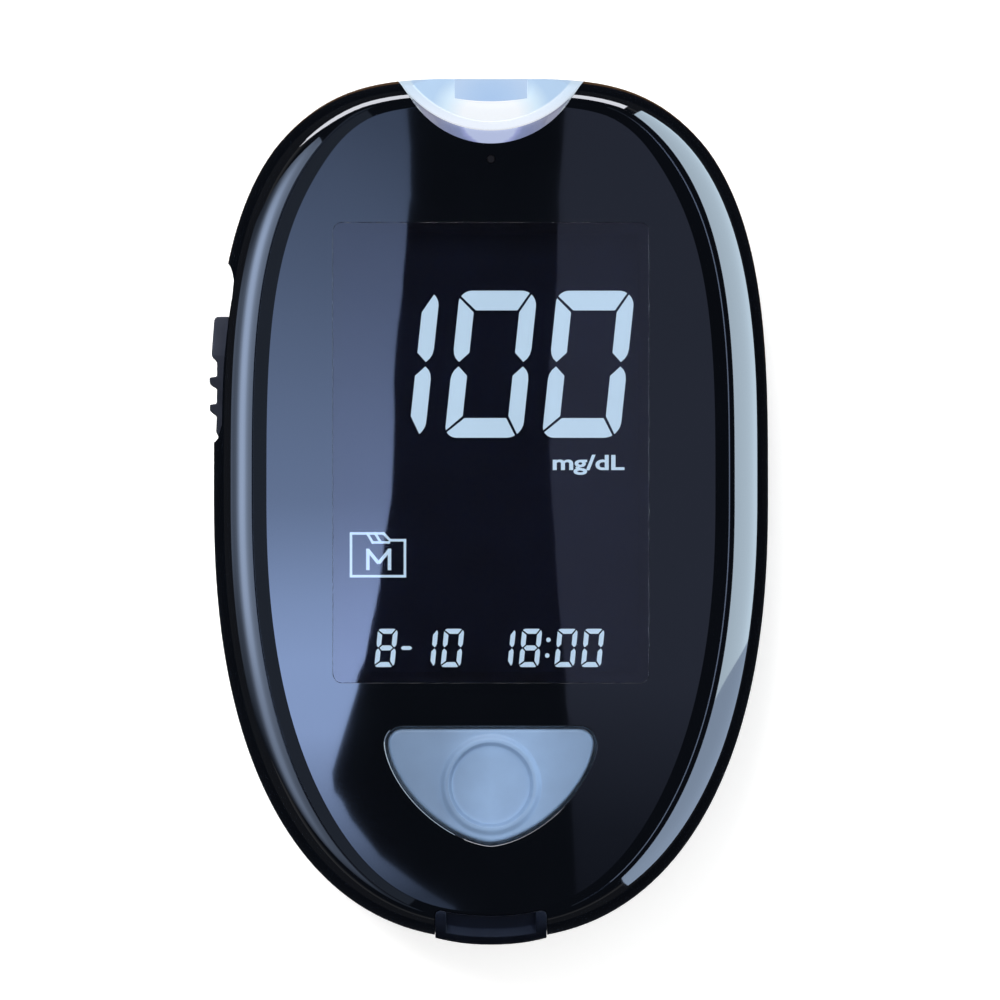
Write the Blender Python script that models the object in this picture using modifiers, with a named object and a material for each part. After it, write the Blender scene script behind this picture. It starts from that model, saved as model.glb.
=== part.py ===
"""A blood glucose meter, as an assembly of its separate pieces.

Metres, +Z up. The meter lies on its back: +Z points out of the display, +Y to the strip port and
+X to the right of the display. The origin is under the middle of the meter, on its rest face.
"""

import math

import bmesh
import bpy
from mathutils import Matrix, Vector

# Play between neighbours, walls and steps of round shapes
gap = 0.0003
front_wall = 0.0020
back_wall = 0.0018
overrun = 0.0020
soft_angle = math.radians(40)
outline_steps = 56
drum_steps = 20
coil_points = 8

# Display window, in the front shell
window_width = 0.0348
window_height = 0.0507
window_corner = 0.0010
window_ledge = 0.0012
window_lift = 0.00455
lens_edge = 0.0011

# Main button, a half moon below the window
button_width = 0.0227
button_height = 0.0125
button_corner = 0.0016
button_drop = 0.0051
button_power = 1.62
button_recess = 0.0002
button_flange = 0.0009
button_flange_thickness = 0.0008
button_stem_radius = 0.0018
button_ring_radius = 0.0050
button_ring_half_width = 0.0007
button_ring_rise = 0.00035
button_ring_drop_share = 0.49
button_dish_depth = 0.0003
button_dish_shares = ((0.9, 0.6), (0.6, 0.9))
button_ring_shares = (0.85, 0.75)
button_dome_share = 0.33
moon_steps = 18
ring_steps = 32

# Outline of the case: two superellipse halves that share their widest line
outline_y = 0.0020
side_margin = 0.0133
head_margin = 0.0165
tail_margin = 0.0109
head_cut = 0.0004
head_power = 3.15
tail_power = 2.37

# Batteries, two AAA cells side by side
cell_radius = 0.00525
cell_length = 0.0445
cell_button_radius = 0.0019
cell_button_length = 0.0011
cell_edge = 0.0005
cell_spring_length = 0.0040
cell_spring_wire = 0.0005
cell_spring_narrow_share = 0.42
cell_spring_wide_share = 0.68
cell_spring_turns = 4
plate_thickness = 0.0003
plate_margin = 0.0020
bay_lift = 0.0120
bay_wall = 0.0022
bay_seat = 0.0009
bay_roof = 0.0012
bay_corner = 0.0025
bay_tail_margin = 0.0100

# Battery door and its hinge tongues and latch
door_recess = 0.0002
door_corner = 0.0015
door_tongue_width = 0.0022
door_tongue_length = 0.0019
door_tongue_height = 0.0010
door_tongue_root = 0.0018
door_latch_width = 0.0050
door_latch_thickness = 0.0008
door_latch_height = 0.0020
door_grip_radius = 0.0080
door_grip_depth = 0.0008

# Circuit board and what stands on it
board_thickness = 0.0012
board_play = 0.0007
board_inset = 0.0032
main_chip_size = 0.0100
main_chip_height = 0.0012
main_chip_shares = (-0.34, 0.50)
sensor_chip_size = 0.0050
sensor_chip_height = 0.0010
sensor_chip_shares = (-0.32, 0.78)
buzzer_radius = 0.0045
buzzer_height = 0.0022
buzzer_hole_radius = 0.0008
buzzer_shares = (0.46, 0.53)
switch_size = 0.0060
switch_height = 0.0016
switch_plunger_radius = 0.0015
switch_plunger_height = 0.0005
switch_play = 0.0008
component_edge = 0.00015
led_width = 0.0022
led_depth = 0.0014
led_height = 0.0012
led_shares = (0.28, 0.884)

# Display module
backlight_lift = 0.0024
backlight_thickness = 0.0022
backlight_leg = 0.0016
lcd_thickness = 0.0018
lcd_margin = 0.0017
lcd_tail = 0.0020
contact_strip_depth = 0.0022
contact_strip_inset = 0.0003
backlight_margin = 0.0005

# Front shell above the display
rim_width = 0.0053
rim_height = 0.0043
rim_steps = 5
rim_narrowing = 0.40
rim_narrowing_power = 2.7
dome_rise = 0.0008
dome_shares = (0.78, 0.52, 0.26)

# Back shell
back_height = 0.0102
back_curve_width = 0.0085
back_curve_height = 0.0090
back_curve_steps = 5

# Strip port: a lit piece in a round notch at the head
port_radius = 0.01205
port_drop = 0.00635
port_lip_lift = 0.0085
port_base = 0.0002
port_lip = 0.0009
port_scoop_depth = 0.0044
port_scoop_slope = 1.05
port_bevel_width = 0.00105
port_bevel_depth = 0.0013
port_block_width = 0.0082
port_block_depth = 0.0022
port_block_wall = 0.0014
strip_slot_width = 0.0074
strip_slot_height = 0.0019
connector_wall = 0.0025
connector_length = 0.0055
connector_floor = 0.0005
connector_roof = 0.0008
contact_height = 0.0004
contact_width = 0.0010
contact_pitch = 0.0020
contact_spine = 0.0010
contact_clearance = 0.0001
contact_inset = 0.0018

# Small dark dot above the display
indicator_y_share = 0.80
indicator_radius = 0.0005
indicator_disc_radius = 0.0015
indicator_disc_height = 0.0009
indicator_stem_radius = 0.0006

# Ejector on the left side
ejector_pocket_depth = 0.0020
ejector_groove_depth = 0.00095
groove_steps = 6
ejector_y_share = 0.28
ejector_length = 0.0136
ejector_height = 0.0066
ejector_travel = 0.0040
ejector_end_play = 0.0014
ejector_plate = 0.0015
ejector_thumb = 0.0018
ejector_thumb_length = 0.0045
ejector_rib = 0.0022
ejector_rib_width = 0.0013
ejector_rib_shares = (0.24, 0.46)
ejector_shank_length = 0.0046
ejector_arm_thickness = 0.0010
ejector_arm_width = 0.0030
ejector_arm_reach = 0.0102
ejector_tear_share = 0.33
ejector_finger_width = 0.0044
ejector_bar_width = 0.0020
rail_wall = 0.0018
rail_margin = 0.0010
rail_start = 0.0006
ejector_spring_radius = 0.0009
ejector_spring_wire = 0.00016
ejector_spring_turns = 8
ejector_spring_inset = 0.0062
spring_stop_width = 0.0040
spring_stop_thickness = 0.0014
spring_length = 0.0102

# Flap over the data socket, at the tail
cover_width = 0.0123
cover_proud = 0.0007
cover_rise = 0.00015
cover_wall = 0.0006
cover_wall_rise = 0.0009
cover_end_angle = math.radians(88)
cover_hinge_radius = 0.0007
cover_heel = 0.0012
cover_hinge_height = 0.0086
cover_steps = 6
cover_groove_width = 0.0090
cover_groove_radius = 0.0014
cover_groove_angle = math.radians(23)
cover_groove_offset = 0.0005
socket_width = 0.0078
socket_height = 0.0028
socket_length = 0.0055
socket_wall = 0.0005
socket_tongue = 0.0008
socket_tongue_margin = 0.0015
socket_room_share = 0.8

# Screws: four join the shells, three hold the board
case_screw_shares = ((0.54, 0.755), (-0.54, 0.755), (0.61, -0.66), (-0.61, -0.66))
board_screw_shares = ((0.726, -0.18), (-0.726, -0.18), (0.70, 0.55))
screw_radius = 0.0009
screw_head_radius = 0.0019
screw_head_height = 0.0013
screw_slot_width = 0.0005
screw_slot_depth = 0.0005
screw_bite = 0.0055
screw_steps = 12
screw_edge_share = 0.75
post_wall = 0.0008
screw_seat_height = 0.0050
boss_wall = 0.0013
boss_sink = 0.0004

# Set button, in the back
set_share = 0.62
set_radius = 0.0025
set_flange = 0.0010
set_flange_thickness = 0.0008
set_recess = 0.0005
set_stem_radius = 0.0015


# Places along the length that follow from the sizes above
window_y = outline_y + window_lift
window_top = window_y + window_height / 2
window_bottom = window_y - window_height / 2
button_top = window_bottom - button_drop
button_bottom = button_top - button_height
bay_half_width = 2 * cell_radius + gap / 2 + 2 * gap
bay_top = outline_y + bay_lift
bay_length = cell_length + cell_spring_length + 2 * plate_thickness + 4 * gap
bay_bottom = bay_top - bay_length
half_width = max(window_width / 2 + side_margin, bay_half_width + bay_wall + side_margin)
head_reach = window_top - outline_y + head_margin
tail_reach = max(outline_y - button_bottom + tail_margin, outline_y - bay_bottom + bay_tail_margin)
head_y = outline_y + head_reach - head_cut
tail_y = outline_y - tail_reach
tail_rim_width = rim_width * (1 - rim_narrowing)

# Heights, stacked up from the rest face
door_top = door_recess + back_wall
cell_z = door_top + gap + cell_radius
bay_ceiling = cell_z + cell_radius + gap
board_bottom = bay_ceiling + bay_roof + board_play
board_top = board_bottom + board_thickness
backlight_bottom = board_top + backlight_lift
lcd_bottom = backlight_bottom + backlight_thickness + gap
lcd_top = lcd_bottom + lcd_thickness
face_edge_z = lcd_top + gap + front_wall
crest_z = face_edge_z + dome_rise
rim_z = face_edge_z - rim_height
front_bottom = back_height + gap
lens_bottom = face_edge_z - lens_edge + gap
boss_top = face_edge_z - front_wall + boss_sink
switch_top = board_top + gap + switch_height + switch_plunger_height
main_boss_radius = screw_radius + gap + boss_wall
post_radius = screw_head_radius + gap + post_wall

# Strip port and what lines up with it
port_y = head_y + port_drop
notch_radius = port_radius + gap
port_bottom = board_bottom + port_base
port_top = port_bottom + port_lip_lift
arm_top = backlight_bottom - gap
arm_bottom = arm_top - ejector_arm_thickness
slot_bottom = arm_bottom - gap
slot_top = slot_bottom + strip_slot_height
connector_front = port_y - notch_radius - gap
connector_back = connector_front - connector_length
connector_top = slot_top + connector_roof

# Ejector
pocket_x = -(half_width - ejector_pocket_depth)
rail_x = pocket_x + rail_wall
ejector_y = outline_y + ejector_y_share * head_reach
ejector_low = ejector_y - ejector_length / 2
ejector_high = ejector_y + ejector_length / 2
ejector_z = (arm_bottom + arm_top) / 2
pocket_low = ejector_low - gap
pocket_high = ejector_high + ejector_travel + ejector_end_play
shank_low = ejector_y - ejector_shank_length / 2
shank_high = ejector_y + ejector_shank_length / 2
bar_high = connector_back - gap - ejector_travel
spring_x = rail_x + ejector_spring_inset
spring_low = shank_high + gap
spring_high = spring_low + spring_length


def clear_scene():
    """Empties the scene without closing the file."""
    for old in list(bpy.data.objects):
        bpy.data.objects.remove(old, do_unlink=True)


def new_collection(name):
    """A collection linked to the scene."""
    made = bpy.data.collections.new(name)
    bpy.context.scene.collection.children.link(made)
    return made


clear_scene()
parts = new_collection("blood_glucose_meter")
cutters = new_collection("cutters")


def material(name, colour, roughness, metallic=0.0, transmission=0.0):
    """A Principled material, with the colour in linear values."""
    made = bpy.data.materials.new(name)
    made.use_nodes = True
    shader = made.node_tree.nodes["Principled BSDF"]
    shader.inputs["Base Color"].default_value = (*colour, 1.0)
    shader.inputs["Roughness"].default_value = roughness
    shader.inputs["Metallic"].default_value = metallic
    shader.inputs["Transmission Weight"].default_value = transmission
    made.diffuse_color = (*colour, 1.0)
    return made


black_gloss = material("black_gloss_abs", (0.004, 0.005, 0.009), 0.06)
black_satin = material("black_satin_abs", (0.012, 0.013, 0.017), 0.38)
navy_satin = material("navy_satin_abs", (0.010, 0.016, 0.028), 0.35)
blue_rubber = material("blue_grey_rubber", (0.250, 0.380, 0.600), 0.45)
dark_rubber = material("charcoal_rubber", (0.020, 0.022, 0.030), 0.60)
clear_acrylic = material("clear_acrylic", (0.90, 0.92, 0.95), 0.03, transmission=0.95)
milky_acrylic = material("milky_acrylic", (0.70, 0.80, 0.95), 0.25, transmission=0.35)
display_glass = material("display_glass", (0.008, 0.009, 0.014), 0.10)
white_plastic = material("white_plastic", (0.80, 0.82, 0.84), 0.35)
board_green = material("board_laminate", (0.020, 0.120, 0.050), 0.45)
chip_epoxy = material("chip_epoxy", (0.015, 0.015, 0.016), 0.55)
steel = material("nickel_plated_steel", (0.60, 0.60, 0.58), 0.28, metallic=1.0)
gold_contact = material("gold_plated_contact", (0.85, 0.62, 0.25), 0.25, metallic=1.0)
cell_wrap = material("cell_wrap", (0.020, 0.080, 0.180), 0.35)


def mesh_object(name, mesh, finish):
    """A piece when it has a finish, and otherwise a hidden cutting or joining body."""
    made = bpy.data.objects.new(name, mesh)
    if finish is None:
        cutters.objects.link(made)
        made.hide_render = True
        made.display_type = "WIRE"
    else:
        parts.objects.link(made)
        mesh.materials.clear()
        mesh.materials.append(finish)
        for face in mesh.polygons:
            face.use_smooth = True
        mesh.set_sharp_from_angle(angle=math.radians(35))
    return made


def boxes(name, corner_pairs, finish=None):
    """One box, or several in one mesh, each from its lowest and highest corner."""
    shape = bmesh.new()
    for low, high in corner_pairs:
        low, high = Vector(low), Vector(high)
        size = high - low
        place = Matrix.Translation((low + high) / 2) @ Matrix.Diagonal((*size, 1.0))
        bmesh.ops.create_cube(shape, size=1.0, matrix=place)
    mesh = bpy.data.meshes.new(name)
    shape.to_mesh(mesh)
    shape.free()
    return mesh_object(name, mesh, finish)


def drums(name, centres, radius, low, high, finish=None, top_radius=None, along="Z"):
    """One cylinder or cone, or several in one mesh, standing between two levels of their axis."""
    turns = {"Z": Matrix.Identity(4), "X": Matrix.Rotation(math.pi / 2, 4, "Y"),
             "Y": Matrix.Rotation(-math.pi / 2, 4, "X")}
    shape = bmesh.new()
    for x, y in centres:
        middle = (low + high) / 2
        place = {"Z": (x, y, middle), "X": (middle, x, y), "Y": (x, middle, y)}[along]
        bmesh.ops.create_cone(
            shape, cap_ends=True, segments=drum_steps, radius1=radius,
            radius2=radius if top_radius is None else top_radius, depth=high - low,
            matrix=Matrix.Translation(place) @ turns[along])
    mesh = bpy.data.meshes.new(name)
    shape.to_mesh(mesh)
    shape.free()
    return mesh_object(name, mesh, finish)


def curve_mesh(name, curve, place):
    """The closed mesh that a curve object makes, with its caps welded and its faces outwards."""
    drawn = bpy.data.objects.new(name + "_curve", curve)
    bpy.context.scene.collection.objects.link(drawn)
    bpy.context.view_layer.update()
    graph = bpy.context.evaluated_depsgraph_get()
    mesh = bpy.data.meshes.new_from_object(drawn.evaluated_get(graph))
    mesh.name = name
    bpy.data.objects.remove(drawn, do_unlink=True)
    shape = bmesh.new()
    shape.from_mesh(mesh)
    bmesh.ops.remove_doubles(shape, verts=shape.verts, dist=gap / 1000)
    bmesh.ops.recalc_face_normals(shape, faces=shape.faces)
    shape.transform(place)
    shape.to_mesh(mesh)
    shape.free()
    return mesh


def prism(name, outline, low, high, finish=None, along="Z"):
    """A flat outline given thickness between two levels of one axis.

    Along Z the outline is in X and Y, and along X it is in Y and Z.
    """
    curve = bpy.data.curves.new(name, "CURVE")
    curve.dimensions = "2D"
    curve.fill_mode = "BOTH"
    curve.extrude = (high - low) / 2
    spline = curve.splines.new("POLY")
    spline.points.add(len(outline) - 1)
    for point, (x, y) in zip(spline.points, outline):
        point.co = (x, y, 0, 1)
    spline.use_cyclic_u = True
    lift = Matrix.Translation((0, 0, (low + high) / 2))
    turn = Matrix.Identity(4)
    if along == "X":
        turn = Matrix(((0, 0, 1, 0), (1, 0, 0, 0), (0, 1, 0, 0), (0, 0, 0, 1)))
    return mesh_object(name, curve_mesh(name, curve, turn @ lift), finish)


def wire(name, points, radius, finish):
    """A round wire through points."""
    curve = bpy.data.curves.new(name, "CURVE")
    curve.dimensions = "3D"
    curve.bevel_depth = radius
    curve.bevel_resolution = 1
    curve.use_fill_caps = True
    spline = curve.splines.new("POLY")
    spline.points.add(len(points) - 1)
    for point, place in zip(spline.points, points):
        point.co = (*place, 1)
    return mesh_object(name, curve_mesh(name, curve, Matrix.Identity(4)), finish)


def turned(name, profile, centre, finish=None, steps=drum_steps):
    """A shape turned about an upright axis. Its profile runs from the top down its outer side."""
    mesh = bpy.data.meshes.new(name)
    corners = [(radius, 0, height) for radius, height in profile]
    edges = [(at, at + 1) for at in range(len(corners) - 1)]
    mesh.from_pydata(corners, edges, [])
    made = mesh_object(name, mesh, finish)
    made.location = centre
    screw = made.modifiers.new("turn", "SCREW")
    screw.axis = "Z"
    screw.steps = steps
    screw.render_steps = steps
    screw.use_merge_vertices = True
    screw.merge_threshold = gap / 1000
    return made


def boolean(target, other, operation):
    """Adds one exact Boolean step to a piece."""
    step = target.modifiers.new(operation.lower(), "BOOLEAN")
    step.operation = operation
    step.solver = "EXACT"
    step.object = other


def cut(target, *others):
    for other in others:
        boolean(target, other, "DIFFERENCE")


def join(target, *others):
    for other in others:
        boolean(target, other, "UNION")


def keep(target, *others):
    for other in others:
        boolean(target, other, "INTERSECT")


def soften(target, width):
    """Rounds the edges of a piece with a small bevel."""
    bevel = target.modifiers.new("soften", "BEVEL")
    bevel.width = width
    bevel.segments = 2
    bevel.limit_method = "ANGLE"
    bevel.angle_limit = soft_angle


def hang_from(piece, place):
    """Moves a piece's origin onto its joint, and leaves the piece where it is."""
    place = Vector(place)
    piece.data.transform(Matrix.Translation(piece.location - place))
    piece.location = place


def place_of(shares):
    """A place on the board or shell from shares of the outline's half width and reaches."""
    across, along = shares
    reach = head_reach if along >= 0 else tail_reach
    return across * half_width, outline_y + along * reach


def arc(centre, radius, start, end, steps=4):
    """Points on an arc, with angles in degrees."""
    angles = [math.radians(start + (end - start) * step / steps) for step in range(steps + 1)]
    return [(centre[0] + radius * math.cos(a), centre[1] + radius * math.sin(a)) for a in angles]


def rounded_rectangle(half_x, low_y, high_y, radius):
    """An upright rectangle about X = 0, with round corners."""
    x, low, high = half_x - radius, low_y + radius, high_y - radius
    return (arc((x, high), radius, 0, 90) + arc((-x, high), radius, 90, 180)
            + arc((-x, low), radius, 180, 270) + arc((x, low), radius, 270, 360))


def outline_ring(inset, height, narrowing=0):
    """Corner points of the case's outline, drawn in by inset, less so towards both ends."""
    ring = []
    for step in range(outline_steps):
        angle = 2 * math.pi * step / outline_steps
        across, along = math.cos(angle), math.sin(angle)
        reach, power = (head_reach, head_power) if along >= 0 else (tail_reach, tail_power)
        size = (abs(across) / half_width) ** power + (abs(along) / reach) ** power
        radius = size ** (-1 / power)
        x, y = radius * across, radius * along
        slope_x = math.copysign((abs(x) / half_width) ** (power - 1) / half_width, x)
        slope_y = math.copysign((abs(y) / reach) ** (power - 1) / reach, y)
        slope = math.hypot(slope_x, slope_y)
        depth = inset * (1 - narrowing * (abs(slope_y) / slope) ** rim_narrowing_power)
        x -= depth * slope_x / slope
        y = min(y - depth * slope_y / slope, head_reach - head_cut - depth)
        ring.append((x, outline_y + y, height))
    return ring


def loft(name, rings, crown=None, floor=False, finish=None):
    """A skin through rings of equal counts, closed by a crown point above and a floor below."""
    count = len(rings[0])
    corners = [corner for ring in rings for corner in ring]
    faces = []
    for level in range(len(rings) - 1):
        for step in range(count):
            after = (step + 1) % count
            low, high = level * count, (level + 1) * count
            faces.append((low + step, low + after, high + after, high + step))
    if crown is not None:
        last = (len(rings) - 1) * count
        corners.append(crown)
        faces += [(last + step, last + (step + 1) % count, len(corners) - 1)
                  for step in range(count)]
    if floor:
        faces.append(tuple(reversed(range(count))))
    mesh = bpy.data.meshes.new(name)
    mesh.from_pydata(corners, [], faces)
    mesh.validate()
    return mesh_object(name, mesh, finish)


def front_rings(low):
    """Rings of the front's outer skin from one level up over the rim and the domed face."""
    rings = [outline_ring(0, low)]
    for step in range(rim_steps + 1):
        angle = math.pi / 2 * step / rim_steps
        inset = rim_width * (1 - math.cos(angle))
        rings.append(outline_ring(inset, rim_z + rim_height * math.sin(angle), rim_narrowing))
    for share in dome_shares:
        height = face_edge_z + dome_rise * (1 - share ** 2)
        rings.append([(share * x, outline_y + share * (y - outline_y), height)
                      for x, y, _ in outline_ring(rim_width, height, rim_narrowing)])
    return rings


def back_rings(lift, high):
    """Rings of the back's outer skin from its flat face, raised by lift, up to one level."""
    rings = []
    for step in range(back_curve_steps + 1):
        angle = math.pi / 2 * (1 - step / back_curve_steps)
        inset = back_curve_width * (1 - math.cos(angle))
        height = back_curve_height * (1 - math.sin(angle))
        rings.append(outline_ring(inset, lift + height))
    rings.append(outline_ring(0, high))
    return rings


def moon_outline(grow):
    """The main button's half moon, grown all round."""
    radius = button_corner + grow
    half = button_width / 2 + grow
    top = button_top + grow
    shoulder = top - radius
    depth = button_height + 2 * grow - radius
    points = arc((half - radius, shoulder), radius, 0, 90)
    points += arc((radius - half, shoulder), radius, 90, 180)
    for step in range(1, moon_steps):
        angle = math.pi * (1 + step / moon_steps)
        x = math.copysign(abs(math.cos(angle)) ** (2 / button_power), math.cos(angle))
        y = -abs(math.sin(angle)) ** (2 / button_power)
        points.append((half * x, shoulder + depth * y))
    return points


def cover_profile(outward, upward, end_angle, steps):
    """Half of the flap's profile in Y and Z, off the case's skin at the tail, from the hinge up."""
    points = [(tail_y, cover_hinge_height), (tail_y - outward, cover_hinge_height + cover_heel)]
    for step in range(steps + 1):
        angle = end_angle * step / steps
        y = tail_y + tail_rim_width - (tail_rim_width + outward) * math.cos(angle)
        points.append((y, rim_z + (rim_height + upward) * math.sin(angle)))
    return points


def form(name, rings, top):
    """A closed solid bounded by a skin, for trimming pieces that follow it."""
    return loft(name, rings, crown=(0, outline_y, top), floor=True)


def shell(name, rings, wall, crown, floor, finish):
    """A skin with a wall laid on its inner side."""
    made = loft(name, rings, crown=crown, floor=floor, finish=finish)
    solidify = made.modifiers.new("wall", "SOLIDIFY")
    solidify.thickness = wall
    solidify.offset = -1
    solidify.use_even_offset = True
    return made


def make_front_case():
    """Glossy front shell: rim, face, seat of the window, openings, bosses and the ejector's rail."""
    case = shell("front_case", front_rings(front_bottom), front_wall, (0, outline_y, crest_z),
                 False, black_gloss)
    bosses = drums("front_bosses", case_screw_places, main_boss_radius, back_height + gap, boss_top)
    board_bosses = drums("board_bosses", board_screw_places, main_boss_radius,
                         board_top + gap, boss_top)
    rail = boxes("rail", [(
        (pocket_x + rail_start, pocket_low - rail_margin,
         ejector_z - ejector_height / 2 - gap - rail_margin),
        (rail_x, pocket_high + rail_margin, ejector_z + ejector_height / 2 + gap))])
    stop = boxes("spring_stop", [(
        (rail_x - rail_wall / 2, spring_high + gap, board_top + gap),
        (spring_x + spring_stop_width / 2, spring_high + gap + spring_stop_thickness, boss_top))])
    for addition in (bosses, board_bosses, rail, stop):
        keep(addition, front_form)
        join(case, addition)

    notch = drums("notch", [(0, port_y)], notch_radius, port_bottom - gap, crest_z + overrun)
    bevel_low = port_top
    slope = port_bevel_width / port_bevel_depth
    bevel = drums("notch_bevel", [(0, port_y)], notch_radius, bevel_low, crest_z + overrun,
                  top_radius=notch_radius + slope * (crest_z + overrun - bevel_low))
    pocket = prism("window_pocket", rounded_rectangle(
        window_width / 2 + gap, window_bottom - gap, window_top + gap, window_corner + gap),
        lens_bottom - gap, crest_z + overrun)
    hole = prism("window_hole", rounded_rectangle(
        window_width / 2 - window_ledge, window_bottom + window_ledge,
        window_top - window_ledge, window_corner), boss_top - front_wall, crest_z + overrun)
    moon = prism("button_hole", moon_outline(gap), boss_top - front_wall, crest_z + overrun)
    dot = drums("indicator_hole", [place_of((0, indicator_y_share))], indicator_radius,
                boss_top - front_wall, crest_z + overrun)
    ejector_pocket = boxes("ejector_pocket", [(
        (-half_width - overrun, pocket_low, ejector_z - ejector_height / 2 - gap),
        (pocket_x, pocket_high, ejector_z + ejector_height / 2 + gap))])
    slot = boxes("ejector_slot", [(
        (pocket_x - overrun, shank_low - gap, arm_bottom - gap),
        (rail_x + overrun, shank_high + ejector_travel + gap, arm_top + gap))])
    pilots = drums("screw_pilots", case_screw_places, screw_radius + gap,
                   front_bottom - overrun, board_bottom + screw_bite)
    board_pilots = drums("board_pilots", board_screw_places, screw_radius + gap,
                         board_top - overrun, board_bottom + screw_bite)
    cut(case, notch, bevel, pocket, hole, moon, dot, ejector_pocket, slot, pilots, board_pilots)
    cut(case, ejector_groove, *tail_cutters)
    return case


def make_ejector_groove():
    """A shallow groove down the side of both shells, where a thumb reaches the ejector."""
    edge = []
    for step in range(groove_steps + 1):
        y = pocket_low + (pocket_high - pocket_low) * step / groove_steps
        width = (1 - ((y - outline_y) / head_reach) ** head_power) ** (1 / head_power)
        edge.append((ejector_groove_depth - half_width * width, y))
    outer_x = -half_width - overrun
    return prism("ejector_groove", [(outer_x, pocket_high), (outer_x, pocket_low)] + edge,
                 -overrun, crest_z + overrun)


def make_tail_cutters():
    """The flap's pocket in both shells, its hinge groove and the socket's opening."""
    inner = cover_profile(-cover_wall - gap, -cover_wall_rise - gap, cover_end_angle, cover_steps)
    inner = inner[2:]
    low_z = cover_hinge_height - gap
    outer_y = tail_y - cover_proud - overrun
    end_y = cover_profile(-cover_wall, -cover_wall_rise, cover_end_angle, cover_steps)[-1][0] + gap
    inner.append((end_y, inner[-1][1]))
    outer = [(outer_y, low_z), (outer_y, crest_z + overrun), (end_y, crest_z + overrun)]
    inner.insert(0, (inner[0][0], low_z))
    half = cover_width / 2 + gap
    pocket = prism("cover_pocket", outer + inner[::-1], -half, half, along="X")
    groove = drums("cover_groove", [(tail_y + cover_hinge_radius, cover_hinge_height)],
                   cover_hinge_radius + gap, -half, half, along="X")
    opening = boxes("socket_opening", [(
        (-socket_width / 2 - gap, tail_y - overrun, board_bottom - gap - socket_height - gap),
        (socket_width / 2 + gap, tail_y + front_wall + overrun, board_bottom))])
    return [pocket, groove, opening]


def make_back_case():
    """Back shell: battery bay, four screw posts and the set button's hole."""
    case = shell("back_case", back_rings(0, back_height), back_wall, None, True, black_satin)
    outer_half = bay_half_width + bay_wall
    low, high = bay_bottom - bay_wall, bay_top + bay_wall
    tub = prism("bay_tub", rounded_rectangle(outer_half, low, high, bay_corner),
                back_wall - gap, bay_ceiling + bay_roof)
    posts = drums("screw_posts", case_screw_places, post_radius, gap, back_height)
    keep(posts, post_form)
    join(case, tub, posts)
    room = boxes("bay_room", [(
        (-bay_half_width, bay_bottom, door_recess), (bay_half_width, bay_top, bay_ceiling))])
    door_hole = prism("door_hole", door_outline(gap), -overrun, door_top + gap)
    tongue_x = bay_half_width - door_tongue_width / 2
    tongue_half = door_tongue_width / 2 + gap
    tongue_room = boxes("tongue_room", [(
        (side * tongue_x - tongue_half, bay_top - overrun, door_top - gap),
        (side * tongue_x + tongue_half, bay_top + bay_wall + overrun,
         door_top + 2 * door_tongue_height + gap)) for side in (-1, 1)])
    latch_room = boxes("latch_room", [(
        (-door_latch_width / 2 - gap, bay_bottom - bay_seat - gap, door_recess),
        (door_latch_width / 2 + gap, bay_bottom + overrun, door_top + door_latch_height + gap))])
    counterbores = drums("counterbores", case_screw_places, screw_head_radius + gap,
                         -overrun, screw_seat_height)
    shafts = drums("post_shafts", case_screw_places, screw_radius + gap, 0, back_height + overrun)
    set_x, set_y = place_of((0, set_share))
    set_hole = drums("set_hole", [(set_x, set_y)], set_radius + gap, -overrun, back_wall + overrun)
    cut(case, room, door_hole, tongue_room, latch_room, counterbores, shafts, set_hole)
    cut(case, ejector_groove, *tail_cutters)
    return case


def door_outline(grow):
    """The battery door's rounded outline, grown all round."""
    return rounded_rectangle(bay_half_width + bay_seat + grow, bay_bottom - bay_seat - grow,
                             bay_top + bay_seat + grow, door_corner + grow)


def make_battery_door():
    """Door over the batteries. It swings on two tongues that hook in under the case's edge."""
    door = prism("battery_door", door_outline(0), -overrun, door_top, black_satin)
    keep(door, form("door_form", back_rings(door_recess, back_height), back_height))
    edge = bay_top + bay_seat
    tongue_x = bay_half_width - door_tongue_width / 2
    low = door_top + gap / 2
    tongues = boxes("door_tongues", [(
        (side * tongue_x - door_tongue_width / 2, edge - door_tongue_root, low),
        (side * tongue_x + door_tongue_width / 2, edge + door_tongue_length,
         low + door_tongue_height)) for side in (-1, 1)])
    roots = boxes("tongue_roots", [(
        (side * tongue_x - door_tongue_width / 2, edge - door_tongue_root, door_top - back_wall / 2),
        (side * tongue_x + door_tongue_width / 2, edge - gap,
         low + door_tongue_height / 2)) for side in (-1, 1)])
    latch = boxes("door_latch", [(
        (-door_latch_width / 2, bay_bottom - bay_seat + gap, door_top - back_wall / 2),
        (door_latch_width / 2, bay_bottom - bay_seat + gap + door_latch_thickness,
         door_top + door_latch_height))])
    grip_z = door_recess + door_grip_depth - door_grip_radius
    grip = drums("door_grip", [(bay_bottom + door_grip_radius, grip_z)], door_grip_radius,
                 -door_latch_width, door_latch_width, along="X")
    join(door, roots, tongues, latch)
    cut(door, grip)
    hang_from(door, (0, edge + gap / 2, 0))
    return door


def cell_sides():
    """Each cell's name, its centre and which way its positive end points."""
    offset = cell_radius + gap / 2
    return (("left", -offset, 1), ("right", offset, -1))


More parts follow.
